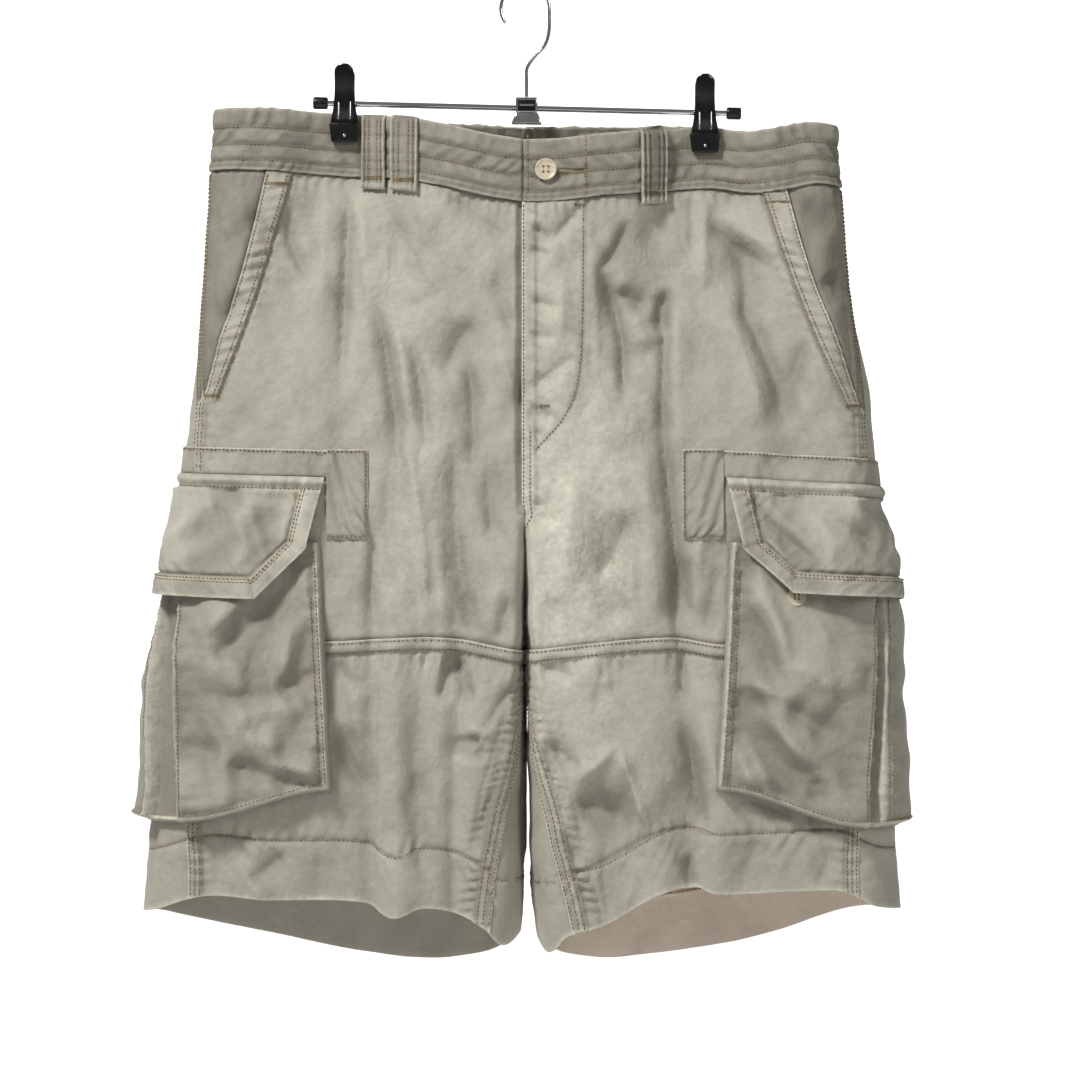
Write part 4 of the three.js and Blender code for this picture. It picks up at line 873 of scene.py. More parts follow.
for side in sides:
    z, arc, high, low = panel_net(
        side, even_rows(168), 132, front_outer_edge, inner_edge,
        lambda side, arc_at: waist_height(side, arc_at, under_band - band_depth),
        lambda side, arc_at: thigh_height(side, arc_at, -seam_under),
    )
    clear_of_band = smooth((high - under_band - z + 2) / 5)
    lift = front_lift(side, z, arc) * mix(0.2, 1, clear_of_band) + under_waistband(z, arc, high)
    lift = lift - 1.4 * smooth((low + seam_under + 2 - z) / 3)
    near_edge = groove(arc - front_outer_edge(side, z), 2.2) + groove(inner_edge(side, z) - arc, 2.2)
    worn = 0.75 * near_edge + 0.15 * (fly_relief(side, z, arc) > 0.1) + thigh_fade(side, z, arc)
    worn = np.clip(worn, 0, 1)
    nodes = [f"front_{side}_upper", f"hand_pocket_band_{side}"] + (["fly_facing"] if side == "left" else [])
    # Painted shading: painted shade in the relief's troughs and painted highlight on its ridges, with painted
    # shade under the waistband, above the thigh seam, in the grooves beside the pocket band and side seam,
    # along the fly and beside the inseam
    crest = 0.5 + body_relief(side, z, arc) / crest_scale - 0.5 * groove(high - z - under_band, 3)
    crest = crest - 0.45 * groove(z - low - seam_under - 1.5, 2.4)
    band = arc - seam_arc("slant", side, z)
    crest = crest - 0.4 * (z > slant_end[side]) * (groove(band - 1.6) + groove(band - band_width(z), 2.2))
    side_away = arc - seam_arc("side", side, z)
    crest = crest - 0.4 * (z < slant_end[side]) * groove(side_away - strip_half - 1.5, 1.8)
    # Painted shadow on the right panel where the left panel laps over it at the fly
    if side == "right":
        crest = crest - 1.2 * smooth((8 - front_length(side, z) + arc) / 5) * (z > -392)
    else:
        lap = front_length(side, z) - arc
        crest = crest - 0.45 * (z > fly_end) * groove(lap - curve_at(fly_width, "z", "width", z), 1.8)
        crest = crest - 0.35 * (z > -470) * groove(lap - 8.6, 1.6)
    crest = crest - 0.45 * (z < -450) * groove(inner_edge(side, z) - arc - 11.4, 2)
    cloth_piece(
        f"front_panel_{side}_upper", panel_twill, "twill", nodes, side, z, arc, lift, worn=worn, crest=crest,
    )
    # the band's three rows of stitching, the side seam's three rows, and the doubled centre seam
    down = seam_path(high[-1] - under_band - 3, slant_end[side] + 1)
    for line in (1.6 + 0 * down, band_width(down) - 1.2, band_width(down) - 4.4):
        sew("front", side, down, seam_arc("slant", side, down) + line, front_lift)
    for end in (high[-1] - under_band - 10, slant_end[side] + 4):
        across = seam_path(seam_arc("slant", side, end), seam_arc("slant", side, end) + band_width(end), 30)
        for row in (-0.6, 0, 0.6):
            sew("front", side, end + row, across, front_lift, pitch=1.5, length=1.4)
    down = seam_path(slant_end[side] - 1, -394)
    for inset in (-3.4, 0, 3.4):
        sew("front", side, down, seam_arc("side", side, down) + inset, front_lift)
    if side == "left":
        down = seam_path(-164, fly_end + 4)
        facing_edge = front_length(side, down) - curve_at(fly_width, "z", "width", down)
        sew("front", side, down, facing_edge + 0.8, front_lift)
        for inset, start in ((1.2, -164), (6.0, -330)):
            down = seam_path(start, -474)
            sew("front", side, down, inner_edge(side, down) - inset, front_lift)
        for z_tack in (-312, -164):
            spot = front_length(side, z_tack) - np.array([18, 10]) - (0 if z_tack < -200 else 26)
            for row in (-0.6, 0, 0.6):
                arc_row = seam_path(spot[0], spot[1], 20)
                sew("front", side, z_tack + row, arc_row, front_lift, pitch=1.4, length=1.3)


# Hip pieces: the inside of each hand pocket that shows beside its slanted edge, tucked under the front
# and sewn into the side seam with three rows.
def hip_lift(side, z, arc):
    tucked = smooth((arc - seam_arc("slant", side, z) + 14) / 14)
    seam = arc - seam_arc("side", side, z)
    relief = body_relief(side, z, arc) * mix(0.3 + 0.7 * smooth((seam - 6) / 10), 1, tucked)
    relief += strip_stand * smooth((strip_half + 0.7 - seam) / 1.4)
    relief += ripples(z, seam - strip_half, 7.5, 0.3, 6)
    return relief - 2.0 * smooth((arc - seam_arc("slant", side, z) + 4) / 6)


for side in sides:
    share = np.linspace(0, 1, 34)
    outer = lambda z: seam_arc("side", side, z) - strip_half
    tuck = lambda z: np.maximum(seam_arc("slant", side, z) + 12, outer(z) + 4)
    arc_at = lambda z: mix(tuck(z), outer(z), share)
    high = waist_height(side, arc_at, under_band - band_depth)
    z = high + (slant_end[side] - 4 - high) * np.linspace(0, 1, 72)[:, None]
    arc = mix(tuck(z), outer(z), share)
    lift = hip_lift(side, z, arc) + under_waistband(z, arc, high)
    # Painted shading starts low here: painted shade over the whole hip piece for the recess it lies in behind
    # the pocket's edge, deepest in the relief's troughs
    cloth_piece(
        f"hip_piece_{side}", trim_twill, "twill_trim", [f"hip_{side}"], side, z, arc, lift,
        crest=0.2 + body_relief(side, z, arc) / crest_scale,
    )
    down = seam_path(high[-1] - under_band - 2, slant_end[side] + 2)
    for inset in (-3.4, 0, 3.4):
        sew("front", side, down, seam_arc("side", side, down) + inset, hip_lift)


# Front legs below the thigh seam: each laps over the panel above with two rows of stitching, and its
# hem is turned up 44 mm inside and sewn once. The felled inseam has three rows.
hem_depth = 44
lap_depth = 9
hem_ripple_pitch = 13


def hem_relief(arc, up):
    """Puckers above and below the hem's stitching, slanting as a twisted hem does"""
    on_hem = smooth((hem_depth + 1 - up) / 2)
    twist = ripples(arc + 0.7 * up, (up - hem_depth + 9) / 2, hem_ripple_pitch, 0.45, 11)
    twist = twist + tucks(arc + 0.8 * up, (up - hem_depth + 5) / 2, 12, 0.8, 6)
    above = ripples(arc, up - hem_depth, 10, 0.9, 9) + tucks(arc - 0.4 * up, up - hem_depth - 4, 11, 0.9, 6)
    return 0.8 * on_hem + twist * on_hem + above * (1 - on_hem) - 0.9 * groove(up - hem_depth, 1.7)


def lower_lift_at(top, bottom):
    def lift(side, z, arc):
        drop, up = top(side, z, arc) - z, z - bottom(side, z, arc)
        lap = smooth((lap_depth + 1.2 - drop) / 1.8)
        gather = tucks(arc, drop - 5, 5.4, 1.5, 5) + tucks(arc + 0.3 * drop, drop - 16, 12, 1.3, 9)
        gather = gather + ripples(arc, drop - 14, 9, 1.2, 12) * smooth((drop - 8) / 4)
        gather = gather - 0.6 * groove(drop - 1.8) - 0.9 * groove(drop - 9, 1.4)
        return front_lift(side, z, arc) + 1.7 * lap + gather + hem_relief(arc, up)
    return lift


def thigh_z(side, z, arc):
    return curve_at(thigh_seam, "x", "z", read_net(nets[side]["net"], z, arc)[..., 0])


def hem_z(side, z, arc):
    """Where the hem's edge lies, level from the inseam round the inner leg"""
    round_inner_leg = (arc < -back_length(side, z)) & (np.asarray(z) < crotch_point)
    arc_of_hem = np.where(round_inner_leg, inner_edge(side, z), arc)
    x = read_net(nets[side]["net"], z, arc_of_hem)[..., 0]
    front, back = curve_at(hem_front[side], "x", "z", x), curve_at(hem_back[side], "x", "z", x)
    return np.where(on_front(side, z, arc), front, back)


lower_front_lift = lower_lift_at(thigh_z, hem_z)


def side_edge(side, z):
    return seam_arc("side", side, z) - strip_half


def leg_rows(high, low):
    near_top = high + np.array([0, -0.8, -2.2, -4.5, -7, -8.8, -10.4, -12.5])[:, None]
    open_part = mix(high - 12.5, low + hem_depth + 3, np.linspace(0, 1, 70)[1:, None])
    turned = low + np.concatenate([[46, 45, 44, 43, 42], np.linspace(40, 2, 22), [0.9, 0]])[:, None]
    return np.vstack([near_top, open_part[:-1], turned])


for side in sides:
    z, arc, high, low = panel_net(
        side, leg_rows, 132, side_edge, inner_edge,
        lambda side, arc_at: thigh_height(side, arc_at),
        lambda side, arc_at: hem_height(side, arc_at),
    )
    lift = lower_front_lift(side, z, arc)
    drop, up = high - z, z - low
    from_side = arc - side_edge(side, z)
    from_inner = inner_edge(side, z) - arc
    worn = groove(drop, 1.4) + 0.8 * groove(up, 2.2) + 0.7 * (groove(from_side, 2) + groove(from_inner, 2))
    worn = worn + thigh_fade(side, z, arc)
    # Painted shading: painted shade in the relief's troughs and painted highlight on its ridges, with painted
    # shade in the grooves of the hem, thigh seam, inseam and side seam stitching
    crest = 0.5 + body_relief(side, z, arc) / crest_scale - 0.5 * groove(up - hem_depth, 1.5)
    crest = crest - 0.35 * groove(drop - 2, 1) - 0.55 * groove(drop - 9.4, 1.5)
    crest = crest - 0.45 * (groove(from_inner - 11.4, 2) + groove(from_inner - 3.4, 1.2))
    crest = crest - 0.4 * groove(from_side - 2 * strip_half - 0.5, 1.6)
    cloth_piece(
        f"front_leg_{side}", panel_twill, "twill", [f"front_{side}_lower"], side, z, arc, lift,
        thick=smooth((hem_depth + 1 - up) / 2), worn=np.clip(worn, 0, 1), crest=crest,
        inside=inner_twill[side],
    )
    share = np.linspace(0.015, 0.985, 160)
    for drop_at in (1.8, 8.4):
        arc_at = lambda z: mix(inner_edge(side, z), side_edge(side, z), share)
        line = thigh_height(side, arc_at, -drop_at)
        sew("front", side, line, arc_at(line), lower_front_lift)
    line = hem_height(side, arc_at, hem_depth)
    sew("front", side, line, arc_at(line), lower_front_lift)
    foot_arc = side_edge(side, -680.0) + strip_half
    foot = float(hem_z(side, np.float64(-680.0), foot_arc)) + 1.5
    down = seam_path(-492, foot, 220)
    for inset in (-3.4, 0, 3.4):
        sew("front", side, down, seam_arc("side", side, down) + inset, lower_front_lift)
    foot = float(hem_z(side, np.float64(-695.0), inner_edge(side, -695.0) - 6.0)) + 2
    down = seam_path(-500, foot, 220)
    for inset in (1.4, 5.6, 9.8):
        sew("front", side, down, inner_edge(side, down) - inset, lower_front_lift)


# Back panels, one to each side from the waistband to the hem: they run round the side of the body and
# under the front's lapped seams, and meet in the felled seat seam, left over right.
def back_lift(side, z, arc):
    relief = body_relief(side, z, arc)
    seam = seam_arc("side", side, z) - arc
    relief = relief * (0.25 + 0.75 * smooth((seam - 4) / 12)) + ripples(z, seam - strip_half, 7.5, 0.35, 7)
    centre = arc + back_length(side, z) + inseam_shift(z)
    above = smooth((z + 392) / 10)
    below = 1 - above
    if side == "left":
        relief += above * (0.9 * smooth((9.4 - centre) / 1.4) + ripples(z, centre - 10, 8, 0.35, 8))
    else:
        relief = relief - above * 1.15 * smooth((4.5 - centre) / 3)
    relief = relief * (1 - below * smooth((10 - centre) / 8) * 0.7)
    meeting = groove(arc + back_length(side, z), 9) * smooth((-z - 440) / 12) * smooth((z + 660) / 22)
    relief = relief * (1 - meeting) + meeting * (1.9 if side == "right" else -2.3)
    up = z - hem_z(side, z, arc)
    return relief + below * ripples(z, centre - 4, 6.5, 0.35, 7) * smooth(centre / 6) + hem_relief(arc, up)


def back_inner_edge(side, z):
    lap = 3.0
    above = smooth((z + 394) / 12)
    below = smooth((-z - 448) / 26)
    return -back_length(side, z) - inseam_shift(z) - mix(-0.2, lap, above) - 3.0 * below


def back_outer_edge(side, z):
    return seam_arc("side", side, z) + 3.0


def back_rows(high, low):
    open_part = mix(high, low + hem_depth + 3, np.linspace(0, 1, 120)[:, None])
    turned = low + np.concatenate([[46, 45, 44, 43, 42], np.linspace(40, 2, 14), [0.9, 0]])[:, None]
    return np.vstack([open_part[:-1], turned])


for side in sides:
    z, arc, high, low = panel_net(
        side, back_rows, 92, back_inner_edge, back_outer_edge,
        lambda side, arc_at: waist_height(side, arc_at, under_band - band_depth),
        lambda side, arc_at: hem_height(side, arc_at),
    )
    lift = back_lift(side, z, arc) + under_waistband(z, arc, high)
    up = z - low
    worn = 0.8 * groove(up, 2.2) + 0.5 * groove(arc - back_inner_edge(side, z), 3) * (z > -390)
    # Painted shading: painted shade in the relief's troughs and painted highlight on its ridges, and below,
    # painted shade in the groove of the hem stitching
    crest = 0.5 + body_relief(side, z, arc) / crest_scale
    cloth_piece(
        f"back_panel_{side}", panel_twill, "twill", [f"back_{side}"], side, z, arc, lift,
        thick=smooth((hem_depth + 1 - up) / 2), worn=worn, inside=inner_twill[side],
        crest=crest - 0.5 * groove(z - hem_z(side, z, arc) - hem_depth, 1.5),
    )
    share = np.linspace(0.01, 0.985, 240)
    arc_at = lambda z: mix(back_outer_edge(side, z), back_inner_edge(side, z), share)
    line = hem_height(side, arc_at, hem_depth)
    for _ in range(3):
        line = hem_z(side, line, arc_at(line)) + hem_depth
    round_inner_leg = arc_at(line) < -back_length(side, line)
    for part in (round_inner_leg, ~round_inner_leg):
        z_row, arc_row = line[part], arc_at(line)[part]
        sew("back", side, z_row, arc_row, back_lift)
        sew("back", side, z_row, arc_row, lambda side, z, arc: back_lift(side, z, arc) - 1.9)
    if side == "left":
        down = seam_path(-150, -386, 200)
        for inset in (1.4, 4.6, 7.8):
            sew("back", side, down, back_inner_edge(side, down) + inset, back_lift)


# Cargo pockets, one on each side seam: a stay patch and a strip sewn flat, a full bag with a box pleat,
# and over it a flap that hangs free, its edge bound in 15 mm of doubled cloth with mitred corners.
cargo = {
    "right": dict(bag=16, flap=14.5, pleat=21, mouth=-451, bottom=-617, drop=90, tip=0.03, button=-443),
    "left": dict(bag=13, flap=15.4, pleat=7, mouth=-432, bottom=-621, drop=83, tip=-0.055, button=-449),
}
bag_mouth, bag_bottom, bag_back = -412, -594, -76
bag_front_top, bag_front_bottom = 150, 140.5
pleat_top, pleat_bottom, pleat_floor = 31, 49, 4.6
bag_foot = 2.6
flap_top, flap_back, flap_wall = -364.5, -80, 1.2
flap_side, flap_reach, flap_border = 53, 30, 15
strip_width = 20
tab_inner, tab_outer, tab_top, tab_bottom = 114.6, 145.4, -343.5, -410

bag_creases = {
    "right": table(
        "x z to_x to_z width height bow",
        (-180, -446, -228, -497, 8, -3.0, -3),
        (-196, -440, -232, -478, 7, 1.8, -2),
        (-190, -474, -200, -520, 7, -2.0, 3),
        (-170, -470, -176, -512, 6, 1.6, 0),
        (-157, -470, -163, -505, 5, -1.8, 0),
        (-150, -508, -180, -522, 8, -2.6, 2),
        (-176, -522, -232, -523, 8, -2.2, -3),
        (-160, -530, -220, -540, 12, 1.8, 0),
        (-245, -560, -222, -566, 7, -2.4, 0),
        (-205, -556, -176, -560, 9, 1.4, 0),
        (-214, -573, -186, -582, 5, -2.6, 0),
        (-190, -582, -141, -593, 5, -2.4, 2),
        (-184, -572, -150, -580, 5, 1.8, 0),
        (-150, -560, -146, -580, 6, -1.6, 0),
        (-238, -500, -240, -560, 8, -1.4, 2),
    ),
    "left": table(
        "x z to_x to_z width height bow",
        (155, -418, 152, -462, 4.5, -3.2, -2),
        (152, -455, 182, -516, 6, -3.6, -5),
        (164, -440, 196, -508, 8, 2.2, -4),
        (190, -500, 230, -520, 9, 1.8, 0),
        (154, -524, 174, -534, 6, -2.8, 0),
        (158, -512, 186, -524, 6, 1.6, 0),
        (166, -543, 206, -588, 7, -3.2, 3),
        (176, -536, 216, -578, 7, 2.2, 3),
        (190, -528, 232, -553, 7, -2.6, 3),
        (212, -584, 214, -602, 4.5, -2.6, 0),
        (172, -588, 200, -600, 6, -1.4, 0),
        (156, -560, 164, -590, 6, 1.4, 0),
        (226, -560, 240, -600, 7, -1.4, 0),
    ),
}


def cloth_x(side, z, arc):
    return read_net(nets[side]["net"], z, arc)[..., 0]


def bag_front_arc(side, z):
    down = np.clip((bag_mouth - z) / (bag_mouth - bag_bottom), 0, 1)
    return arc_of_x(side, z, mix(bag_front_top, bag_front_bottom, down))


bag_fronts = {side: bag_front_arc(side, heights) for side in sides}


def bag_edge(side, z):
    return np.interp(-np.asarray(z, float), -heights, bag_fronts[side])


def pleat_arc(z):
    return mix(pleat_top, pleat_bottom, np.clip((bag_mouth - z) / (bag_mouth - bag_bottom), 0, 1))


def bag_fullness(side, z):
    return mix(6, cargo[side]["bag"], smooth((bag_mouth - z) / 100))


def bag_foot_z(side, z, arc):
    front, pleat = bag_edge(side, z), pleat_arc(z)
    share = np.clip((front - arc) / (front - pleat), 0, 1)
    return mix(bag_bottom, cargo[side]["bottom"], smooth(share))


def bag_lift(side, z, arc):
    size = cargo[side]
    pleat_front = pleat_arc(z)
    pleat_back = pleat_front - size["pleat"]
    from_front, from_back = bag_edge(side, z) - arc, arc - bag_back
    edge = np.minimum(from_front, from_back)
    to_pleat = np.where(
        arc > pleat_front,
        from_front / (bag_edge(side, z) - pleat_front),
        from_back / (pleat_back - bag_back),
    )
    up = z - bag_foot_z(side, z, arc)
    full = bag_fullness(side, z) * mix(0.8, 1, smooth(np.clip(to_pleat, 0, 1) * 1.6))
    wall = smooth(edge / 3.2) * smooth(up / 4.2)
    x = cloth_x(side, z, arc)
    soft = 3.0 * crease_field(bag_creases[side], x, z) * (arc > 0) + 1.6 * unevenness(x * 1.3, z * 1.2 + 40)
    soft = soft * smooth((edge - 3) / 10) * smooth((up - 2) / 8)
    depth = full - pleat_floor
    soft = np.where(soft < 0, depth * np.tanh(soft / depth), soft)
    away = np.where(arc > pleat_front, arc - pleat_front, pleat_back - arc)
    rim = 0.7 * np.exp(-(((edge - 4) / 2.4) ** 2)) + 0.7 * np.exp(-(((away - 2.4) / 2) ** 2)) * (away > 0)
    gather = tucks(z, edge - 7, 11, 1.5, 8) + tucks(z + 4, away - 6, 12, 1.3, 7)
    gather = gather + tucks(arc, up - 8, 12, 1.6, 8)
    gather = gather - 0.8 * groove(edge - 6.6, 1.3) - 0.8 * groove(up - 7.4, 1.4) * (edge > 6)
    outer = bag_foot + (full - bag_foot + rim + gather) * wall + soft * smooth(away / 4)
    inside = smooth(-away / 1.6)
    return mix(outer, pleat_floor + 0.4 * unevenness(x, z), inside * wall) + body_relief(side, z, arc) * 0.8


def flap_edge_arc(side, z):
    return arc_of_x(side, z, 147.2 - 0.24 * (z - flap_top))


flap_fronts = {side: flap_edge_arc(side, heights) for side in sides}


def flap_front(side, z):
    return np.interp(-np.asarray(z, float), -heights, flap_fronts[side])


flap_widths = {side: float(flap_front(side, flap_top)) - flap_back for side in sides}


def flap_border_distance(side, across, down):
    """How far in from the flap's nearest edge a place lies"""
    width, drop = flap_widths[side], cargo[side]["drop"]
    end = np.minimum(across, width - across)
    mitre = np.array([flap_reach, drop - flap_side], float)
    slope = ((drop - down) * mitre[0] - (flap_reach - end) * mitre[1]) / np.hypot(*mitre)
    return np.minimum(np.minimum(end, drop - down), slope)


# Folds in each flap, placed across it from its front edge and down it from its top
flap_creases = {
    "right": table(
        "x z to_x to_z width height bow",
        (34, -22, 20, -60, 7, -1.8, 2), (58, -20, 46, -52, 8, 1.4, 0), (80, -24, 92, -60, 8, -1.4, 3),
        (20, -30, 17, -50, 4, 1.2, 0), (110, -30, 100, -70, 9, 1.2, 0),
    ),
    "left": table(
        "x z to_x to_z width height bow",
        (14, -14, 52, -58, 5, -2.8, 4), (24, -12, 66, -52, 8, 2.2, 5), (60, -18, 96, -40, 8, -1.8, 3),
        (96, -30, 70, -62, 8, -1.2, 0), (16, -38, 34, -66, 4, 1.4, 0), (112, -22, 122, -60, 8, 1.4, 0),
    ),
}


def flap_soft(side, across, down):
    """The flap's soft unevenness and folds, without its sewn edges"""
    folded = 1.6 * crease_field(flap_creases[side], across + 0 * down, -down)
    return folded + 1.9 * unevenness(across * 1.1 + 30 * (side == "left"), down * 1.3)


def flap_relief(side, across, down):
    width, drop = flap_widths[side], cargo[side]["drop"]
    edge = flap_border_distance(side, across, down)
    end = np.minimum(across, width - across)
    below_roll = smooth((down - 9.5) / 2)
    border = smooth((flap_border - edge) / 1.3 + 0.5) * below_roll
    tight = 0.5 + 0.5 * smooth((edge - flap_border) / 12)
    soft = flap_soft(side, across, down) * tight
    along = across + 1.3 * down
    puckers = ripples(along, edge - flap_border / 2, 10.5, 0.6, 7)
    puckers = puckers + tucks(along + 3, edge - flap_border - 3, 11, 1.2, 8)
    corner = []
    for a, b in (
        ((0, flap_side), (flap_border, flap_side - 6)),
        ((flap_reach, drop), (flap_reach + 5, drop - flap_border)),
    ):
        run = np.array(b, float) - a
        share = np.clip(((end - a[0]) * run[0] + (down - a[1]) * run[1]) / (run @ run), 0, 1)
        corner.append(np.hypot(end - a[0] - share * run[0], down - a[1] - share * run[1]))
    fold = np.exp(-((np.minimum(*corner) / 1.3) ** 2))
    sewn_in = -1.8 * groove(edge - flap_border - 0.8, 1.6) - 0.7 * groove(edge - flap_border + 3.2, 1.1)
    roll = 2.2 * np.exp(-(((down - 3.6) / 3.2) ** 2)) - 0.7 * np.exp(-(((down - 9) / 1.5) ** 2))
    rolled = tucks(across, down - 7, 9, 1.0, 7)
    dip = -1.2 * np.exp(-(((down - 17) / 6) ** 2)) * (0.6 + 0.4 * np.sin(across / 13))
    loose = puckers + sewn_in + soft + dip
    return 2.2 * border - 1.6 * fold * border + loose * below_roll + roll + rolled


def flap_lift(side, across, down):
    share = np.clip(down / cargo[side]["drop"], 0, 1)
    stand = mix(2.8, cargo[side]["flap"], smooth(share * 0.94 + 0.03)) + flap_relief(side, across, down)
    return stand + body_relief(side, *flap_place(side, across, down))


def flap_place(side, across, down):
    z = flap_top - down + cargo[side]["tip"] * across
    return z, mix(flap_front(side, z), flap_back, across / flap_widths[side])


def patch_lift(stand):
    return lambda side, z, arc: stand + body_relief(side, z, arc) + ripples(arc + 0.4 * z, 0 * z, 13, 0.5, 9)


def sew_flat(area, lift):
    """Sews a row whose lift is already known at each of its places"""
    return lambda side, z, arc: sew(area, side, z, arc, lambda *_: lift)


tab_lift, strip_lift = patch_lift(2.1), patch_lift(1.7)
for side in sides:
    size = cargo[side]
    z = np.linspace(tab_top, tab_bottom, 56)[:, None] + np.zeros(29)
    arc = arc_of_x(side, z, np.linspace(tab_inner, tab_outer, 29))
    rim = np.abs(np.abs(cloth_x(side, z, arc)) - tab_inner)
    rim = np.minimum(np.minimum(tab_top - z, z - tab_bottom), rim)
    lift = tab_lift(side, z, arc) + tucks(z + arc, rim - 4, 9, 1.2, 7)
    lift = lift - 1.1 * groove(rim, 1.1) - 0.5 * groove(rim - 2, 1)
    # Painted shading: low over the whole stay patch, with painted shade in the groove inside its edge
    cloth_piece(
        f"stay_patch_{side}", panel_twill, "twill", [f"cargo_tab_{side}"], side, z, arc, lift,
        worn=0.6 * groove(rim, 1.4), crest=0.32 - 0.5 * groove(rim - 2.2, 1.2),
    )
    corners = [(tab_outer, tab_top), (tab_inner, tab_top), (tab_inner, tab_bottom), (tab_outer, tab_bottom)]
    inset = 1.8
    for (x0, z0), (x1, z1) in zip(corners, corners[1:]):
        z_row, x_row = seam_path(z0, z1, 60), seam_path(x0, x1, 60)
        z_row = np.clip(z_row, tab_bottom + inset, tab_top - inset)
        sew("pockets", side, z_row, arc_of_x(side, z_row, np.maximum(x_row, tab_inner + inset)), tab_lift)

    across = np.linspace(0, flap_widths[side], 92)
    down = np.concatenate([np.linspace(strip_width, 0.8, 13), [0.2]])[:, None]
    z = flap_top + down + size["tip"] * across
    arc = mix(arc_of_x(side, z, tab_outer) + 1.5, flap_back, across / flap_widths[side])
    lift = strip_lift(side, z, arc) + ripples(arc, 0 * z, 15, 0.45, 9) + tucks(arc, down - 13, 12, 1.1, 9)
    lift = lift - 0.9 * groove(strip_width - down, 1)
    # Painted shading: low over the whole strip, with painted shade in the groove by its top row and along its
    # foot where the flap's roll meets it
    cloth_piece(
        f"pocket_strip_{side}", panel_twill, "twill", [f"cargo_strip_{side}"], side, z, arc, lift,
        worn=0.7 * groove(strip_width - down, 1.5) + 0 * z,
        crest=0.36 - 0.5 * groove(strip_width - down - 2.2, 1.3) - 0.5 * smooth((3 - down) / 3) + 0 * z,
    )
    z_row = flap_top + strip_width - 1.8 + size["tip"] * across
    arc_row = mix(arc_of_x(side, z_row, tab_outer), flap_back, across / flap_widths[side])
    sew("pockets", side, z_row, arc_row, strip_lift)

    front_share = np.concatenate([
        [0, 0.008, 0.018, 0.03, 0.045, 0.065], np.linspace(0.09, 0.93, 34), [0.95, 0.968, 0.982, 0.992, 1],
    ])
    pleat_share = np.array([0.04, 0.09, 0.15, 0.3, 0.5, 0.7, 0.85, 0.91, 0.96])
    down_share = [0.965, 0.974, 0.981, 0.987, 0.992, 0.996, 1]
    down_share = np.concatenate([np.linspace(0, 0.955, 70), down_share])[:, None]
    half_of = np.repeat([0, 1, 2], [len(front_share), len(pleat_share), len(front_share)])
    share = np.concatenate([front_share, pleat_share, 1 - front_share[::-1]])

    def bag_arc(z):
        pleat_front = pleat_arc(z)
        pleat_back = pleat_front - size["pleat"]
        starts = np.choose(half_of, np.broadcast_arrays(bag_edge(side, z), pleat_front, pleat_back))
        ends = np.choose(half_of, np.broadcast_arrays(pleat_front, pleat_back, bag_back + 0 * pleat_front))
        return mix(starts, ends, share)

    to_pleat = np.choose(half_of, [share, 1 + 0 * share, 1 - share])
    mouth_arc = bag_arc(np.full(len(share), float(bag_mouth)))
    mouth = mix(bag_mouth, size["mouth"], to_pleat**1.5) + size["tip"] * (mouth_arc[0] - mouth_arc)
    foot = np.where(half_of == 0, mix(bag_bottom, size["bottom"], smooth(share)), size["bottom"])
    z = mix(mouth, foot, down_share)
    arc = bag_arc(z)
    lift = bag_lift(side, z, arc)
    edge = np.minimum(np.minimum(bag_edge(side, z) - arc, arc - bag_back), z - foot)
    away = np.minimum(np.abs(arc - pleat_arc(z)), np.abs(arc - pleat_arc(z) + size["pleat"]))
    worn = 0.9 * np.exp(-(((edge - 3.4) / 1.7) ** 2)) + 0.8 * np.exp(-((away / 1.5) ** 2))
    x = cloth_x(side, z, arc)
    folds_in = 3 * crease_field(bag_creases[side], x, z) * (arc > 0)
    # Painted shading: low over the whole bag and following its folds, with painted shade on the pleat's
    # floor, under the flap near the mouth, and in the grooves of the pleat and edge stitching
    crest = 0.26 + (folds_in + unevenness(x * 1.3, z * 1.2 + 40)) / crest_scale
    crest = crest - 0.5 * (half_of == 1)
    crest = crest - 0.35 * smooth((z - mouth + 26) / 22)
    crest = crest - 0.5 * groove(away - 0.4, 1.6) - 0.45 * groove(edge - 6.8, 1.6)
    cloth_piece(
        f"pocket_bag_{side}", panel_twill, "twill", [f"cargo_bag_{side}"], side, z, arc, lift,
        worn=np.clip(worn, 0, 1), crest=crest,
    )
    for inset in (4.6, 8.6):
        z_row = seam_path(size["mouth"] if inset > 5 else bag_mouth - 6, bag_bottom + 6, 200)
        sew("pockets", side, z_row, bag_edge(side, z_row) - inset, bag_lift)
        sew("pockets", side, z_row, bag_back + inset + 0 * z_row, bag_lift)
    z_row = seam_path(size["mouth"] - 4, size["bottom"] + 5, 200)
    for inset in (2.4, -size["pleat"] - 2.4):
        sew("pockets", side, z_row, pleat_arc(z_row) + inset, bag_lift)
    arc_row = seam_path(bag_edge(side, -590.0) - 6, bag_back + 6, 200)
    z_row = bag_foot_z(side, np.full(200, -600.0), arc_row) + 5.4
    keep = (arc_row > pleat_arc(z_row) + 3) | (arc_row < pleat_arc(z_row) - size["pleat"] - 3)
    for part in (keep & (arc_row > 0), keep & (arc_row <= pleat_bottom - size["pleat"])):
        sew("pockets", side, z_row[part], arc_row[part], bag_lift)

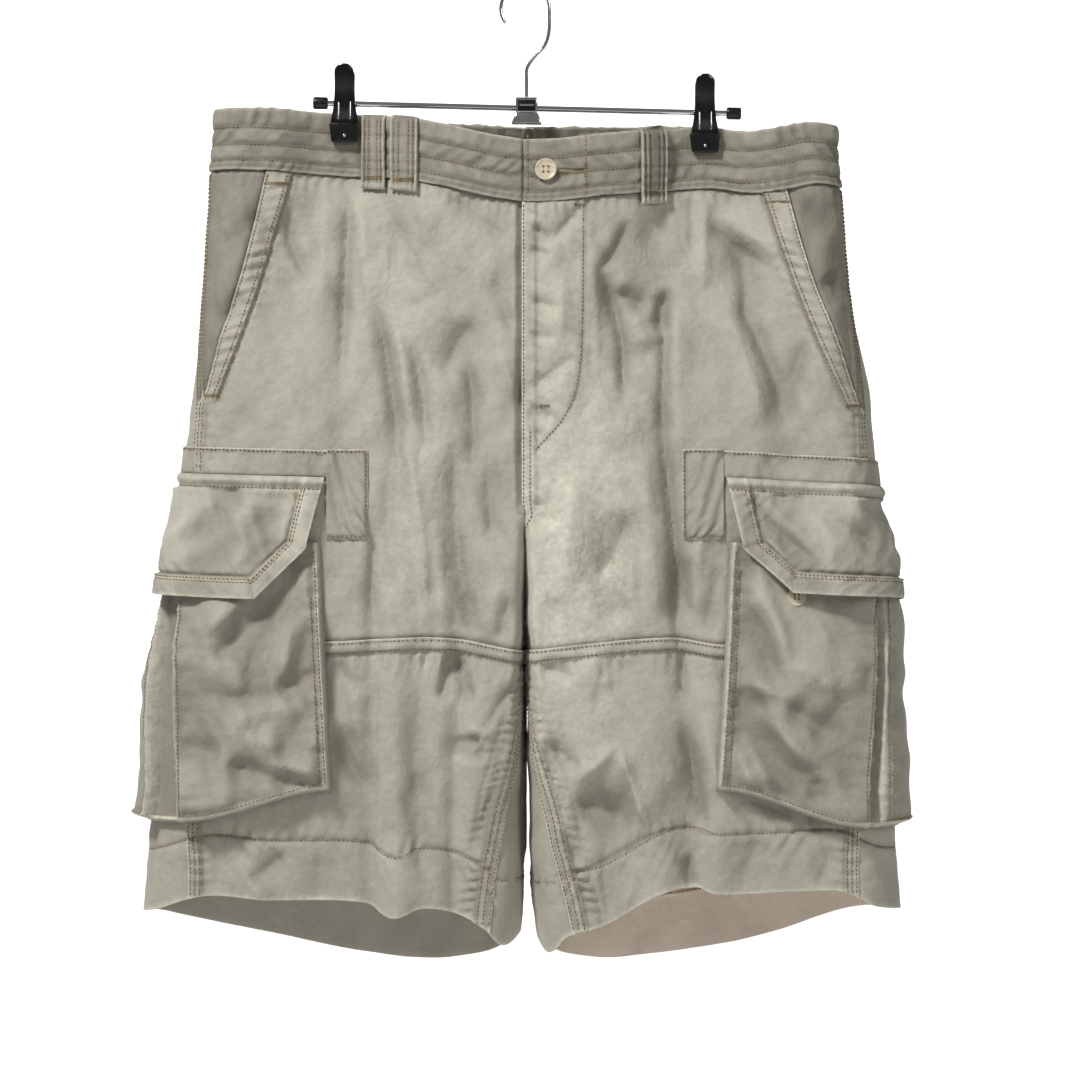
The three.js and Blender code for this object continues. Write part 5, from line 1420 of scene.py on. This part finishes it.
    width, drop = flap_widths[side], size["drop"]
    across = np.linspace(flap_reach, width - flap_reach, 74)
    across = np.concatenate([np.linspace(0, flap_reach, 22)[:-1], across])
    across = np.concatenate([across, np.linspace(width - flap_reach, width, 22)[1:]])
    low = mix(flap_side, drop, np.clip(np.minimum(across, width - across) / flap_reach, 0, 1))
    down = np.concatenate([[0, 0.6], np.linspace(1.6, 100, 68)])[:, None] / 100 * low
    z, arc = flap_place(side, across + 0 * down, down)
    lift = flap_lift(side, across + 0 * down, down)
    edge = flap_border_distance(side, across + 0 * down, down)
    worn = 0.8 * groove(edge, 1.6) + 0.5 * groove(edge - flap_border + 1.6, 1.2)
    worn += 0.4 * groove(down - 3.6, 2.5)
    # Painted shading from the flap's folds, with painted shade in the groove inside its bound border
    crest = 0.5 + flap_soft(side, across + 0 * down, down) / 9
    crest = crest - 0.6 * groove(edge - flap_border - 0.8, 1.6)
    cloth_piece(
        f"pocket_flap_{side}", panel_twill, "twill", [f"cargo_flap_{side}", f"cargo_flap_border_{side}"],
        side, z, arc, lift, wall=flap_wall, worn=np.clip(worn, 0, 1), crest=crest,
    )
    corners = [(flap_border - 1.2, 9), (flap_border - 1.2, flap_side - 5)]
    corners.append((flap_reach + 5, drop - flap_border + 1.2))
    corners += [(width - a, d) for a, d in reversed(corners)]
    inner_row = np.array(corners, float)
    outer_row = inner_row + np.array([[-2.2, 0], [-2.2, 1], [-1, 2.2], [1, 2.2], [2.2, 1], [2.2, 0]])
    along = np.linspace(0, 1, 60)[:, None]
    for points in (inner_row, outer_row):
        row = np.vstack([mix(points[k], points[k + 1], along) for k in range(len(points) - 1)])
        z_row, arc_row = flap_place(side, row[:, 0], row[:, 1])
        sew_flat("pockets", flap_lift(side, row[:, 0], row[:, 1]))(side, z_row, arc_row)
    row = seam_path(1, width - 1, 200)
    z_row, arc_row = flap_place(side, row, 9 + 0 * row)
    sew_flat("pockets", flap_lift(side, row, 9 + 0 * row))(side, z_row, arc_row)


# Waistband: a doubled band, 46 mm deep, quilted along by three rows of stitching, with a puckered
# channel between each pair. The left end laps over the right at the fly.
band_stand = 1.2
band_rows_at = np.array([14.6, 27.0, 38.7])
channel_pitch = (11.0, 14.0, 12.0, 8.0)


def band_relief(side, drop, arc):
    edges = np.concatenate([[0], band_rows_at, [band_depth]])
    relief = 0 * drop * arc
    for k in range(4):
        inside = (drop >= edges[k]) & (drop < edges[k + 1])
        share = np.clip((drop - edges[k]) / (edges[k + 1] - edges[k]), 0, 1)
        puff = smooth(share / 0.3) * smooth((1 - share) / 0.3)
        slant_of = (0.15, 0.9, -0.5, 0.05)[k]
        along = arc + slant_of * drop + 9 * k
        calm = 0.55 + 0.45 * np.sin(arc / 37 + 2.1 * k)
        folds_in = ripples(along, 0 * drop, channel_pitch[k], 0.25, 9)
        wander = along + 0.4 * unevenness(arc, 9 * drop)
        folds_in = folds_in + calm * tucks(wander, 0 * drop, channel_pitch[k], 1.2, 9)
        folds_in = folds_in + 0.3 * unevenness(1.7 * arc + 50 * k, 4 * drop)
        relief = np.where(inside, 0.85 * puff + folds_in * np.sin(math.pi * share) ** 0.3, relief)
    return relief


def band_top(side, z, arc):
    x = cloth_x(side, z, arc)
    return np.where(arc >= 0, curve_at(waist_front, "x", "z", x), curve_at(waist_back, "x", "z", x))


def band_lift(side, z, arc):
    drop = band_top(side, z, arc) - z
    x = cloth_x(side, z, arc)
    held = 0.85 * pinch_at(x, -100.0) * np.exp(-(((x - clip_x[side]) / 16) ** 4))
    held = 1 - held * smooth((30 - drop) / 8)
    lift = band_stand - 0.35 + band_relief(side, drop, arc) * held
    if side == "right":
        lift = lift - 3.2 * smooth((arc - front_length(side, z) + 1.9) / 1.6)
        lift = lift - 2.4 * smooth((-back_length(side, z) + 0.6 - arc) / 1.2)
    return lift


for side in sides:
    lap = 16 if side == "right" else 1.3
    share = np.linspace(0, 1, 310)
    back_lap = 4 if side == "right" else 0.6
    arc_at = lambda z: mix(front_length(side, z) + lap, -back_length(side, z) - back_lap, share)
    top = waist_height(side, arc_at)
    drop = np.concatenate([[0, 0.7], np.linspace(1.8, band_depth - 1, 34), [band_depth]])[:, None]
    z = top - drop
    arc = arc_at(z)
    lift = band_lift(side, z, arc) + 0.9 * np.exp(-(((band_depth - drop) / 2.2) ** 2))
    worn = 0.9 * groove(drop, 1.6) + 0.6 * groove(band_depth - drop, 1.4) + 0 * z
    row_away = np.abs(drop[:, :, None] - band_rows_at).min(axis=2) + 0 * z
    # Painted shading: low over the band, darker in its hollows and lighter on its puffs, with painted shade
    # in the grooves of its stitched rows and above its foot
    crest = 0.32 + 0.3 * (lift - band_stand - 0.5)
    crest = crest - 0.5 * (groove(row_away, 0.9) + groove(band_depth - drop - 3, 1.2))
    cloth_piece(
        f"waistband_piece_{side}", trim_twill, "twill_trim", [f"waistband_{side}"], side, z, arc, lift,
        wall=2.1, worn=np.clip(worn, 0, 1), crest=crest,
    )
    share = np.linspace(0.004 if side == "left" else 0.05, 0.998, 900)
    line = waist_height(side, arc_at)
    for row in band_rows_at:
        sew("waist", side, line - row, arc_at(line - row), band_lift)
x_end = 44.5
z_row = seam_path(-112.5, -112.5 - band_depth + 2, 60)
sew("waist", "left", z_row, arc_of_x("left", z_row, x_end), band_lift)
sew("waist", "left", z_row, front_length("left", z_row) - 1.8, band_lift)

# Buttonhole: a slit with a whipped edge that runs from the button to a bar tack at its far end
hole = dict(z=-139.0, start=24.5, end=43.0, half=1.5)
slit = seam_path(hole["start"], hole["end"], 60)
for off in (-hole["half"], hole["half"]):
    row = np.full(60, hole["z"] + off)
    sew("waist", "left", row, arc_of_x("left", row, slit), band_lift, pitch=0.9, length=0.9, width=1.5)
bar = seam_path(hole["z"] - 5, hole["z"] + 5, 30)
for off in (-0.8, 0, 0.8):
    bar_arc = arc_of_x("left", bar, hole["end"] + 1.5 + off)
    sew("waist", "left", bar, bar_arc, band_lift, pitch=1.2, length=1.2)


# Belt loops: six doubled strips with roped edges, two rows of stitching beside each, let into the
# waistband's top and folded under at the foot, where a bar tack holds them.
loop_width = 19.5
loop_stand = 3.9
loop_places = (
    ("front_right_outer", "right", "front", 111), ("front_right_inner", "right", "front", 87.6),
    ("front_left", "left", "front", 93.5), ("back_right", "right", "back", 92),
    ("back_middle", "left", "back", 10.4), ("back_left", "left", "back", 94),
)


def loop_relief(across, down):
    share = np.abs(across) / (loop_width / 2)
    rope = 0.8 * np.exp(-(((share - 0.87) / 0.09) ** 2)) - 0.8 * np.exp(-(((share - 0.7) / 0.08) ** 2))
    rope += 0.5 * np.exp(-(((share - 0.52) / 0.1) ** 2)) - 0.6 * np.exp(-(((share - 0.34) / 0.09) ** 2))
    pinched = sum(-0.5 * np.exp(-(((down - row - 0.5) / 1.5) ** 2)) for row in (14.6, 27.0, 34.0, 41.0))
    foot = smooth((down - 48) / 3)
    top = smooth((4 - down) / 4)
    bow = 0.6 * np.sin(math.pi * np.clip(down / 50, 0, 1))
    return rope * (1 - 0.5 * top) + pinched * (0.6 + 0.4 * share) + bow + 0.9 * foot - 2.0 * top**2


for name, side, face, middle in loop_places:
    across = np.linspace(-0.5, 0.5, 34) * loop_width
    down = np.concatenate([np.linspace(-0.4, 50, 56), [51.5, 53, 54, 54.6, 55]])[:, None]
    arc_at = lambda z: arc_of_x(side, z, middle + across, face)
    top = waist_height(side, arc_at)
    z = top - down
    arc = arc_at(z)
    lift = loop_stand + loop_relief(across, down) - 1.3 * smooth((down - 53.2) / 1.8)
    lift = lift - 0.9 * np.maximum(np.abs(across) / (loop_width / 2) - 0.93, 0) / 0.07
    worn = 0.8 * np.exp(-(((np.abs(across) - 8.6) / 0.8) ** 2)) + 0.9 * smooth((down - 50) / 3) + 0 * z
    # Painted shading: low over the whole loop, darker in the rope's hollows and lighter on its ridges
    cloth_piece(
        f"loop_{name}", trim_twill, "twill_trim", [f"belt_loop_{name}"], side, z, arc, lift, wall=1.3,
        worn=np.clip(worn, 0, 1), crest=0.22 + loop_relief(across, down) / 3 + 0 * z,
    )
    z_row = top[13] - seam_path(3, 50, 60)
    for off in (-6.8, -3.3, 3.3, 6.8):
        arc_row = arc_of_x(side, z_row, middle + off, face)
        row_lift = loop_stand + loop_relief(np.float64(off), seam_path(3, 50, 60))
        sew_flat("waist", row_lift)(side, z_row, arc_row)
    for drop_at in (45.5, 46.6, 47.7):
        x_row = middle + seam_path(-7.5, 7.5, 20)
        z_row = np.full(20, top[13] - drop_at)
        arc_row = arc_of_x(side, z_row, x_row, face)
        flat_row = loop_stand + loop_relief(seam_path(-7.5, 7.5, 20), np.float64(drop_at)) + 0.1
        sew("waist", side, z_row, arc_row, lambda *_: flat_row, pitch=1.3, length=1.2)


# The sewing thread itself: one small spindle for each stitch, all of an area in one mesh
# The thread's tone is darker than tan thread: partly the thread's own colour, partly painted shade of the
# holes and grooves it lies in
thread, thread_shader = principled("Cotton thread", {"Roughness": 0.75, "Sheen Weight": 0.2})
place = wire(thread.node_tree, "ShaderNodeTexCoord").outputs["Object"]
shade = between(thread.node_tree, noise(thread.node_tree, place, 160.0, 3.0), 0.35, 0.65)
tone = blend_colours(thread.node_tree, shade, (0.14, 0.105, 0.05, 1), (0.29, 0.21, 0.1, 1))
thread.node_tree.links.new(tone, thread_shader.inputs["Base Color"])
spindle = np.array([
    [-0.5, 0, -0.55], [-0.3, 0.5, -0.15], [-0.3, 0, 0.42], [-0.3, -0.5, -0.15], [-0.3, 0, -0.5],
    [0.3, 0.5, -0.15], [0.3, 0, 0.42], [0.3, -0.5, -0.15], [0.3, 0, -0.5], [0.5, 0, -0.55],
])
spindle_faces = [(0, 2, 1), (0, 3, 2), (0, 4, 3), (0, 1, 4), (9, 5, 6), (9, 6, 7), (9, 7, 8), (9, 8, 5)]
spindle_faces += [(1, 2, 6, 5), (2, 3, 7, 6), (3, 4, 8, 7), (4, 1, 5, 8)]
for area, rows in sewn.items():
    middles, ahead, out = (np.vstack([row[k] for row in rows]) for k in range(3))
    long = np.concatenate([np.full(len(row[0]), row[3]) for row in rows])[:, None, None]
    wide = np.concatenate([np.full(len(row[0]), row[4]) for row in rows])[:, None, None]
    beside = np.cross(out, ahead)
    spots = middles[:, None] + spindle[:, 0, None] * long * ahead[:, None]
    spots = spots + spindle[:, 1, None] * wide * beside[:, None]
    spots = spots + (spindle[:, 2, None] * 0.8 * thread_width + 0.3) * out[:, None]
    faces = []
    for k in range(len(middles)):
        faces.extend([tuple(10 * k + corner for corner in face) for face in spindle_faces])
    mesh = bpy.data.meshes.new(f"stitching_{area}")
    mesh.from_pydata((spots.reshape(-1, 3) / 1000).tolist(), [], faces)
    piece = bpy.data.objects.new(f"stitching_{area}", mesh)
    bpy.context.collection.objects.link(piece)
    only(piece)
    bpy.ops.object.mode_set(mode="EDIT")
    bpy.ops.mesh.select_all(action="SELECT")
    bpy.ops.mesh.normals_make_consistent(inside=False)
    bpy.ops.object.mode_set(mode="OBJECT")
    bpy.ops.object.shade_smooth()
    piece.data.materials.append(thread)
    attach(piece, "root")


# Buttons: cast cream plastic with a rolled rim and four holes, sewn on with two bars of thread. One
# shuts the waistband, and one under the point of each pocket flap holds the flap down.
button_cream, button_shader = principled("Cream plastic", {"Roughness": 0.34, "Coat Weight": 0.15})
tree = button_cream.node_tree
swirl_place = wire(tree, "ShaderNodeTexCoord").outputs["Object"]
stretched = wire(tree, "ShaderNodeMapping", {"Vector": swirl_place, "Scale": (1, 1, 3)}).outputs[0]
swirl = noise(tree, stretched, 190.0, 4.0)
tone = blend_colours(tree, between(tree, swirl, 0.35, 0.65), (0.5, 0.42, 0.3, 1), (0.62, 0.55, 0.42, 1))
tree.links.new(tone, button_shader.inputs["Base Color"])


def pick_faces(piece, wanted):
    only(piece)
    bpy.ops.object.mode_set(mode="EDIT")
    bpy.ops.mesh.select_mode(type="FACE")
    bpy.ops.mesh.select_all(action="DESELECT")
    bpy.ops.object.mode_set(mode="OBJECT")
    for face in piece.data.polygons:
        face.select = bool(wanted(face))
    bpy.ops.object.mode_set(mode="EDIT")


def round_edges(piece, width, segments=3, angle=30):
    only(piece)
    edge = piece.modifiers.new("edge", "BEVEL")
    edge.width, edge.segments = width, segments
    edge.limit_method, edge.angle_limit = "ANGLE", math.radians(angle)
    bpy.ops.object.modifier_apply(modifier="edge")
    bpy.ops.object.shade_smooth_by_angle(angle=math.radians(40))


def settle(piece):
    """Leaves the piece at the origin, unturned and unscaled, where it stands"""
    only(piece)
    bpy.ops.object.transform_apply(location=True, rotation=True, scale=True)


def finish_hard(piece, material, slot_name, *nodes):
    piece.data.materials.clear()
    piece.data.materials.append(material)
    settle(piece)
    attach(piece, "root")
    if nodes:
        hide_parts(*nodes)
    return piece


def make_button(name, radius, thick, hole, spread):
    drop_selection()
    bpy.ops.mesh.primitive_cylinder_add(vertices=64, radius=radius, depth=thick, location=(0, 0, thick / 2))
    piece = bpy.context.object
    piece.name = name
    settle(piece)
    pick_faces(piece, lambda face: face.normal.z > 0.9)
    bpy.ops.mesh.inset(thickness=radius * 0.16)
    bpy.ops.mesh.inset(thickness=radius * 0.1)
    bpy.ops.transform.translate(value=(0, 0, -thick * 0.2))
    bpy.ops.object.mode_set(mode="OBJECT")
    round_edges(piece, radius * 0.07, angle=12)
    for x, y in ((1, 1), (-1, 1), (-1, -1), (1, -1)):
        drop_selection()
        bpy.ops.mesh.primitive_cylinder_add(
            vertices=20, radius=hole, depth=3 * thick, location=(x * spread, y * spread, 0),
        )
        cutter = bpy.context.object
        only(piece)
        cut = piece.modifiers.new("hole", "BOOLEAN")
        cut.object, cut.operation, cut.solver = cutter, "DIFFERENCE", "EXACT"
        bpy.ops.object.modifier_apply(modifier="hole")
        bpy.data.objects.remove(cutter)
    bars = []
    for x in (1, -1):
        drop_selection()
        bpy.ops.mesh.primitive_uv_sphere_add(
            segments=14, ring_count=8, radius=1, location=(x * spread, 0, thick * 0.68),
            scale=(hole * 0.6, spread * 1.25, hole * 0.5),
        )
        bars.append(bpy.context.object)
    drop_selection()
    for bar in bars:
        bar.select_set(True)
    bpy.context.view_layer.objects.active = bars[0]
    bpy.ops.object.join()
    bars[0].name = name + "_thread"
    settle(bars[0])
    bpy.ops.object.shade_smooth()
    return piece, bars[0]


def put_on(pieces, side, z, arc, lift):
    point, out = (row[0] for row in cloth_at(side, np.array([z]), np.array([arc]), np.array([lift])))
    out = Vector(out)
    right = Vector((0, 0, 1)).cross(out).normalized()
    turn = Matrix([right, out.cross(right), out]).transposed().to_4x4()
    for piece in pieces:
        piece.data.transform(Matrix.Translation(Vector(point) / 1000) @ turn)


waist_button = dict(x=15.3, z=-138.7)
first, first_thread = make_button("button_waist", 0.008, 0.0032, 0.0009, 0.0019)
button_arc = float(arc_of_x("left", waist_button["z"], waist_button["x"]))
put_on((first, first_thread), "left", waist_button["z"], button_arc, 1.7)
finish_hard(first, button_cream, "button", "waist_button")
finish_hard(first_thread, thread, "twill_trim")
small, small_thread = make_button("button_pocket", 0.007, 0.0018, 0.0008, 0.0016)
for side in sides:
    for end in ("front", "back"):
        pair = []
        for source, label in ((small, "button_pocket"), (small_thread, "button_pocket_thread")):
            copy = bpy.data.objects.new(f"{label}_{side}_{end}", source.data.copy())
            bpy.context.collection.objects.link(copy)
            pair.append(copy)
        front = float(bag_edge(side, cargo[side]["button"]))
        arc = front - 50 if end == "front" else bag_back + 50
        z = cargo[side]["button"] + cargo[side]["tip"] * (front - arc)
        lift = bag_lift(side, np.array([float(z)]), np.array([arc]))
        put_on(pair, side, z, arc, float(lift[0]) + 0.6)
        finish_hard(pair[0], button_cream, "button", f"cargo_button_{side}_{end}")
        finish_hard(pair[1], thread, "twill_trim")
for piece in (small, small_thread):
    bpy.data.objects.remove(piece)


# Hanger hook: 2.8 mm chromed steel wire, bent in one length from the swivel to the rail
chrome, chrome_shader = principled("Chrome", {"Metallic": 1.0, "Base Color": (0.78, 0.79, 0.8, 1)})
tree = chrome.node_tree
haze = noise(tree, wire(tree, "ShaderNodeTexCoord").outputs["Object"], 140.0, 4.0)
hazy = math_node(tree, "ADD", math_node(tree, "MULTIPLY", haze, 0.12), 0.06)
tree.links.new(hazy, chrome_shader.inputs["Roughness"])
stem_x, hook_radius, hook_centre = 1.1, 18, -16.6
stem = [(1.1, -82), (1.1, -68), (1.7, -60), (8, -51), (14.4, -44), (17.7, -33), (18, -16.6)]
knots = np.array([(2 * stem[0][0] - stem[1][0], 2 * stem[0][1] - stem[1][1])] + stem + [(18, 0)], float)
path = []
for k in range(len(stem) - 1):
    for t in np.linspace(0, 1, 9)[:-1]:
        a, b, c, d = knots[k : k + 4]
        bend = (2 * a - 5 * b + 4 * c - d) * t**2 + (3 * b - a - 3 * c + d) * t**3
        path.append(0.5 * (2 * b + (c - a) * t + bend))
for turn in np.radians(np.linspace(0, 216, 55)):
    path.append((hook_radius * math.cos(turn), hook_centre + hook_radius * math.sin(turn)))
drop_selection()
bpy.ops.curve.primitive_bezier_curve_add()
hook = bpy.context.object
hook.name = "hook_wire"
hook.data.splines.clear()
line = hook.data.splines.new("POLY")
line.points.add(len(path) - 1)
for point, (x, z) in zip(line.points, path):
    point.co = (x / 1000, 0, z / 1000, 1)
hook.data.bevel_depth, hook.data.bevel_resolution = 0.0014, 5
hook.data.use_fill_caps = True
only(hook)
bpy.ops.object.convert(target="MESH")
bpy.ops.object.shade_smooth_by_angle(angle=math.radians(40))
finish_hard(hook, chrome, "chrome", "hook")


# Rod of chromed steel, 4.4 mm thick and a little low on one side, with a black rubber cap on each end
def rod_z(x):
    return mix(-86.6, -94.2, (x + 150) / 303)


rubber = principled("Black rubber", {"Base Color": (0.004, 0.004, 0.0045, 1), "Roughness": 0.3})[0]
rod_tilt = math.atan2(94.2 - 86.6, 303)


def rod_part(name, x, radius, length):
    drop_selection()
    bpy.ops.mesh.primitive_cylinder_add(
        vertices=32, radius=radius / 1000, depth=length / 1000, location=(x / 1000, 0, rod_z(x) / 1000),
        rotation=(0, math.pi / 2 + rod_tilt, 0),
    )
    bpy.context.object.name = name
    return bpy.context.object


finish_hard(rod_part("hanger_rod", 1.5, 2.2, 303), chrome, "chrome", "rod")
for side, x in (("right", -154.7 + 3.1), ("left", 157.7 - 3.1)):
    cap = rod_part(f"rod_end_{side}", x, 4.6, 11)
    round_edges(cap, 0.0014, 4)
    finish_hard(cap, rubber, "pad_black", f"rod_cap_{side}")


# Swivel: a bent chrome bracket over a dark moulded block, and a pressed skirt that flares under the rod
def box_part(name, middle, size, bevel=0.0):
    drop_selection()
    bpy.ops.mesh.primitive_cube_add(
        size=1, location=[c / 1000 for c in middle], scale=[s / 1000 for s in size],
    )
    piece = bpy.context.object
    piece.name = name
    settle(piece)
    if bevel:
        round_edges(piece, bevel / 1000)
    return piece


bracket = box_part("swivel_bracket", (stem_x, 0, -88), (16.4, 9, 11.2))
pick_faces(bracket, lambda face: abs(face.normal.y) > 0.9)
bpy.ops.mesh.inset(thickness=0.0014, use_individual=True)
bpy.ops.object.mode_set(mode="OBJECT")
for facing in (-1, 1):
    pick_faces(bracket, lambda face: face.normal.y * facing > 0.9 and face.area < 0.00014)
    bpy.ops.transform.translate(value=(0, -facing * 0.0011, 0))
    bpy.ops.object.mode_set(mode="OBJECT")
round_edges(bracket, 0.0008)
finish_hard(bracket, chrome, "chrome", "swivel")
finish_hard(box_part("swivel_block", (stem_x, 0, -88.6), (13, 8, 8.2), 0.4), rubber, "pad_black")
finish_hard(box_part("swivel_bar", (stem_x, 0, -88.2), (10.6, 8.8, 1.5), 0.5), chrome, "chrome")
skirt = box_part("swivel_skirt", (stem_x, 0, -97.9), (16.4, 9, 8.6))
pick_faces(skirt, lambda face: face.normal.z < -0.9)
bpy.ops.transform.resize(value=(23 / 16.4, 12 / 9, 1), center_override=(stem_x / 1000, 0, -0.1022))
bpy.ops.object.mode_set(mode="OBJECT")
round_edges(skirt, 0.0012)
finish_hard(skirt, chrome, "chrome")


# Clips: two pressed steel levers each, enamelled black but bare along their cut edges, that turn on the
# rod over a coiled spring. Its two wires lie down the front lever, and black rubber pads grip the cloth.
enamel, enamel_shader = principled(
    "Black enamel", {"Base Color": (0.003, 0.003, 0.0035, 1), "Coat Weight": 0.3},
)
tree = enamel.node_tree
haze = noise(tree, wire(tree, "ShaderNodeTexCoord").outputs["Object"], 260.0, 4.0)
hazy = math_node(tree, "ADD", math_node(tree, "MULTIPLY", haze, 0.2), 0.1)
tree.links.new(hazy, enamel_shader.inputs["Roughness"])
pad_inside = 4.6
lever_wall = 1.4
lever_rows = table(
    "up out half crown",
    (3, 6.2, 10, 0), (15.5, 6.2, 10, 0), (24, 7.6, 8.4, 1), (36, 9.4, 7.2, 1.2), (46, 11.8, 7, 1.2),
    (53, 13, 6.9, 1.2), (56.6, 13.4, 5.2, 0.8), (57.6, 13.6, 2.6, 0.3),
)
for side, foot in (("right", -116.3), ("left", -123.8)):
    middle = clip_x[side]
    for where, facing in (("front", -1), ("back", 1)):
        drop_selection()
        bpy.ops.mesh.primitive_grid_add(x_subdivisions=16, y_subdivisions=48, size=1)
        lever = bpy.context.object
        lever.name = f"lever_{side}_{where}"
        for vertex in lever.data.vertices:
            share, climb = 2 * vertex.co.x, vertex.co.y + 0.5
            up = 3 + (1 - (1 - climb) ** 1.5) * 54.6
            row = {key: float(curve_at(lever_rows, "up", key, up)) for key in ("out", "half", "crown")}
            half = row["half"] if up < 53 else 6.9 * math.sqrt(max(1 - ((up - 51.5) / 6.3) ** 2, 0.06)) * 1.03
            stand = row["out"] + lever_wall + row["crown"] * (1 - share**2)
            vertex.co = Vector((middle + share * half, facing * stand, foot + up)) / 1000
        only(lever)
        bpy.ops.object.mode_set(mode="EDIT")
        bpy.ops.mesh.select_all(action="SELECT")
        if facing > 0:
            bpy.ops.mesh.flip_normals()
        bpy.ops.object.mode_set(mode="OBJECT")
        wall = lever.modifiers.new("wall", "SOLIDIFY")
        wall.thickness, wall.offset = lever_wall / 1000, -1
        bpy.ops.object.modifier_apply(modifier="wall")
        round_edges(lever, 0.0004, 3, 50)
        finish_hard(lever, enamel, "lever_black", f"clip_lever_{side}_{where}")
        lever.data.materials.append(chrome)
        for face in lever.data.polygons:
            face.material_index = int(abs(face.normal.x) > 0.8)
        pad = box_part(
            f"pad_{side}_{where}", (middle, facing * (pad_inside + 2.3), foot + 7.25), (22.9, 4.6, 14.5),
        )
        pick_faces(pad, lambda face: face.normal.z < -0.9)
        bpy.ops.transform.resize(
            value=(0.84, 0.9, 1), center_override=(middle / 1000, 0.0069 * facing, foot / 1000),
        )
        bpy.ops.object.mode_set(mode="OBJECT")
        round_edges(pad, 0.0013, 4)
        finish_hard(pad, rubber, "pad_black", f"clip_pad_{side}_{where}")
        drop_selection()
        bpy.ops.mesh.primitive_uv_sphere_add(
            segments=16, ring_count=8, radius=0.0011, scale=(1, 0.5, 1),
            location=(middle / 1000, facing * (pad_inside + 4.6) / 1000, (foot + 5) / 1000),
        )
        bpy.context.object.name = f"rivet_{side}_{where}"
        bpy.ops.object.shade_smooth()
        finish_hard(bpy.context.object, chrome, "chrome")
    barrel = rod_part(f"spring_barrel_{side}", middle, 5, 7.6)
    round_edges(barrel, 0.0006)
    finish_hard(barrel, chrome, "chrome", f"clip_spring_{side}")
    for off in (-4.3, 4.3):
        drop_selection()
        bpy.ops.mesh.primitive_cylinder_add(
            vertices=16, radius=0.00085, depth=0.021,
            location=((middle + off) / 1000, -0.0102, (foot + 27) / 1000),
            rotation=(-0.15, 0, 0),
        )
        bpy.context.object.name = f"spring_wire_{side}_{'outer' if off < 0 else 'inner'}"
        round_edges(bpy.context.object, 0.0005)
        finish_hard(bpy.context.object, chrome, "chrome")


# White paper floor and backdrop, soft light from the upper left and front, and a long lens at the
# height of the shorts' middle
paper = principled("White paper", {"Base Color": (0.86, 0.86, 0.85, 1), "Roughness": 0.9})[0]
for name, place, turn in (("floor", (0, 0, -1.4), 0), ("backdrop", (0, 3.6, 1.5), math.pi / 2)):
    drop_selection()
    bpy.ops.mesh.primitive_plane_add(size=14, location=place, rotation=(turn, 0, 0))
    bpy.context.object.name = name
    bpy.context.object.data.materials.append(paper)
world = bpy.data.worlds.new("Studio")
bpy.context.scene.world = world
world.use_nodes = True
world.node_tree.nodes["Background"].inputs["Color"].default_value = (1, 1, 1, 1)
world.node_tree.nodes["Background"].inputs["Strength"].default_value = 0.15
bpy.context.scene.view_settings.view_transform = "Standard"
for name, place, size, power in (
    ("key_light", (-1.4, -1.6, 2.0), 0.5, 106), ("fill_light", (1.8, -2.2, 0.9), 1.0, 18),
    ("backdrop_light", (0, 1.4, 1.3), 1.6, 92),
):
    drop_selection()
    bpy.ops.object.light_add(type="AREA", location=place)
    light = bpy.context.object
    light.name = name
    light.data.shape, light.data.size, light.data.energy = "SQUARE", size, power
    target = Vector((0, 3.6, -0.4) if name == "backdrop_light" else (0, 0, -0.4))
    light.rotation_euler = (target - Vector(place)).to_track_quat("-Z", "Y").to_euler()
    light.visible_camera = False
drop_selection()
frame_width, frame_x, frame_z = 0.7884, 0.011, -0.4103
camera_away = 3.0
bpy.ops.object.camera_add(location=(frame_x, -camera_away, frame_z), rotation=(math.pi / 2, 0, 0))
camera = bpy.context.object
camera.name = "photo_camera"
camera.data.sensor_width = 36
camera.data.lens = 36 * (camera_away - 0.045) / frame_width
bpy.context.scene.camera = camera
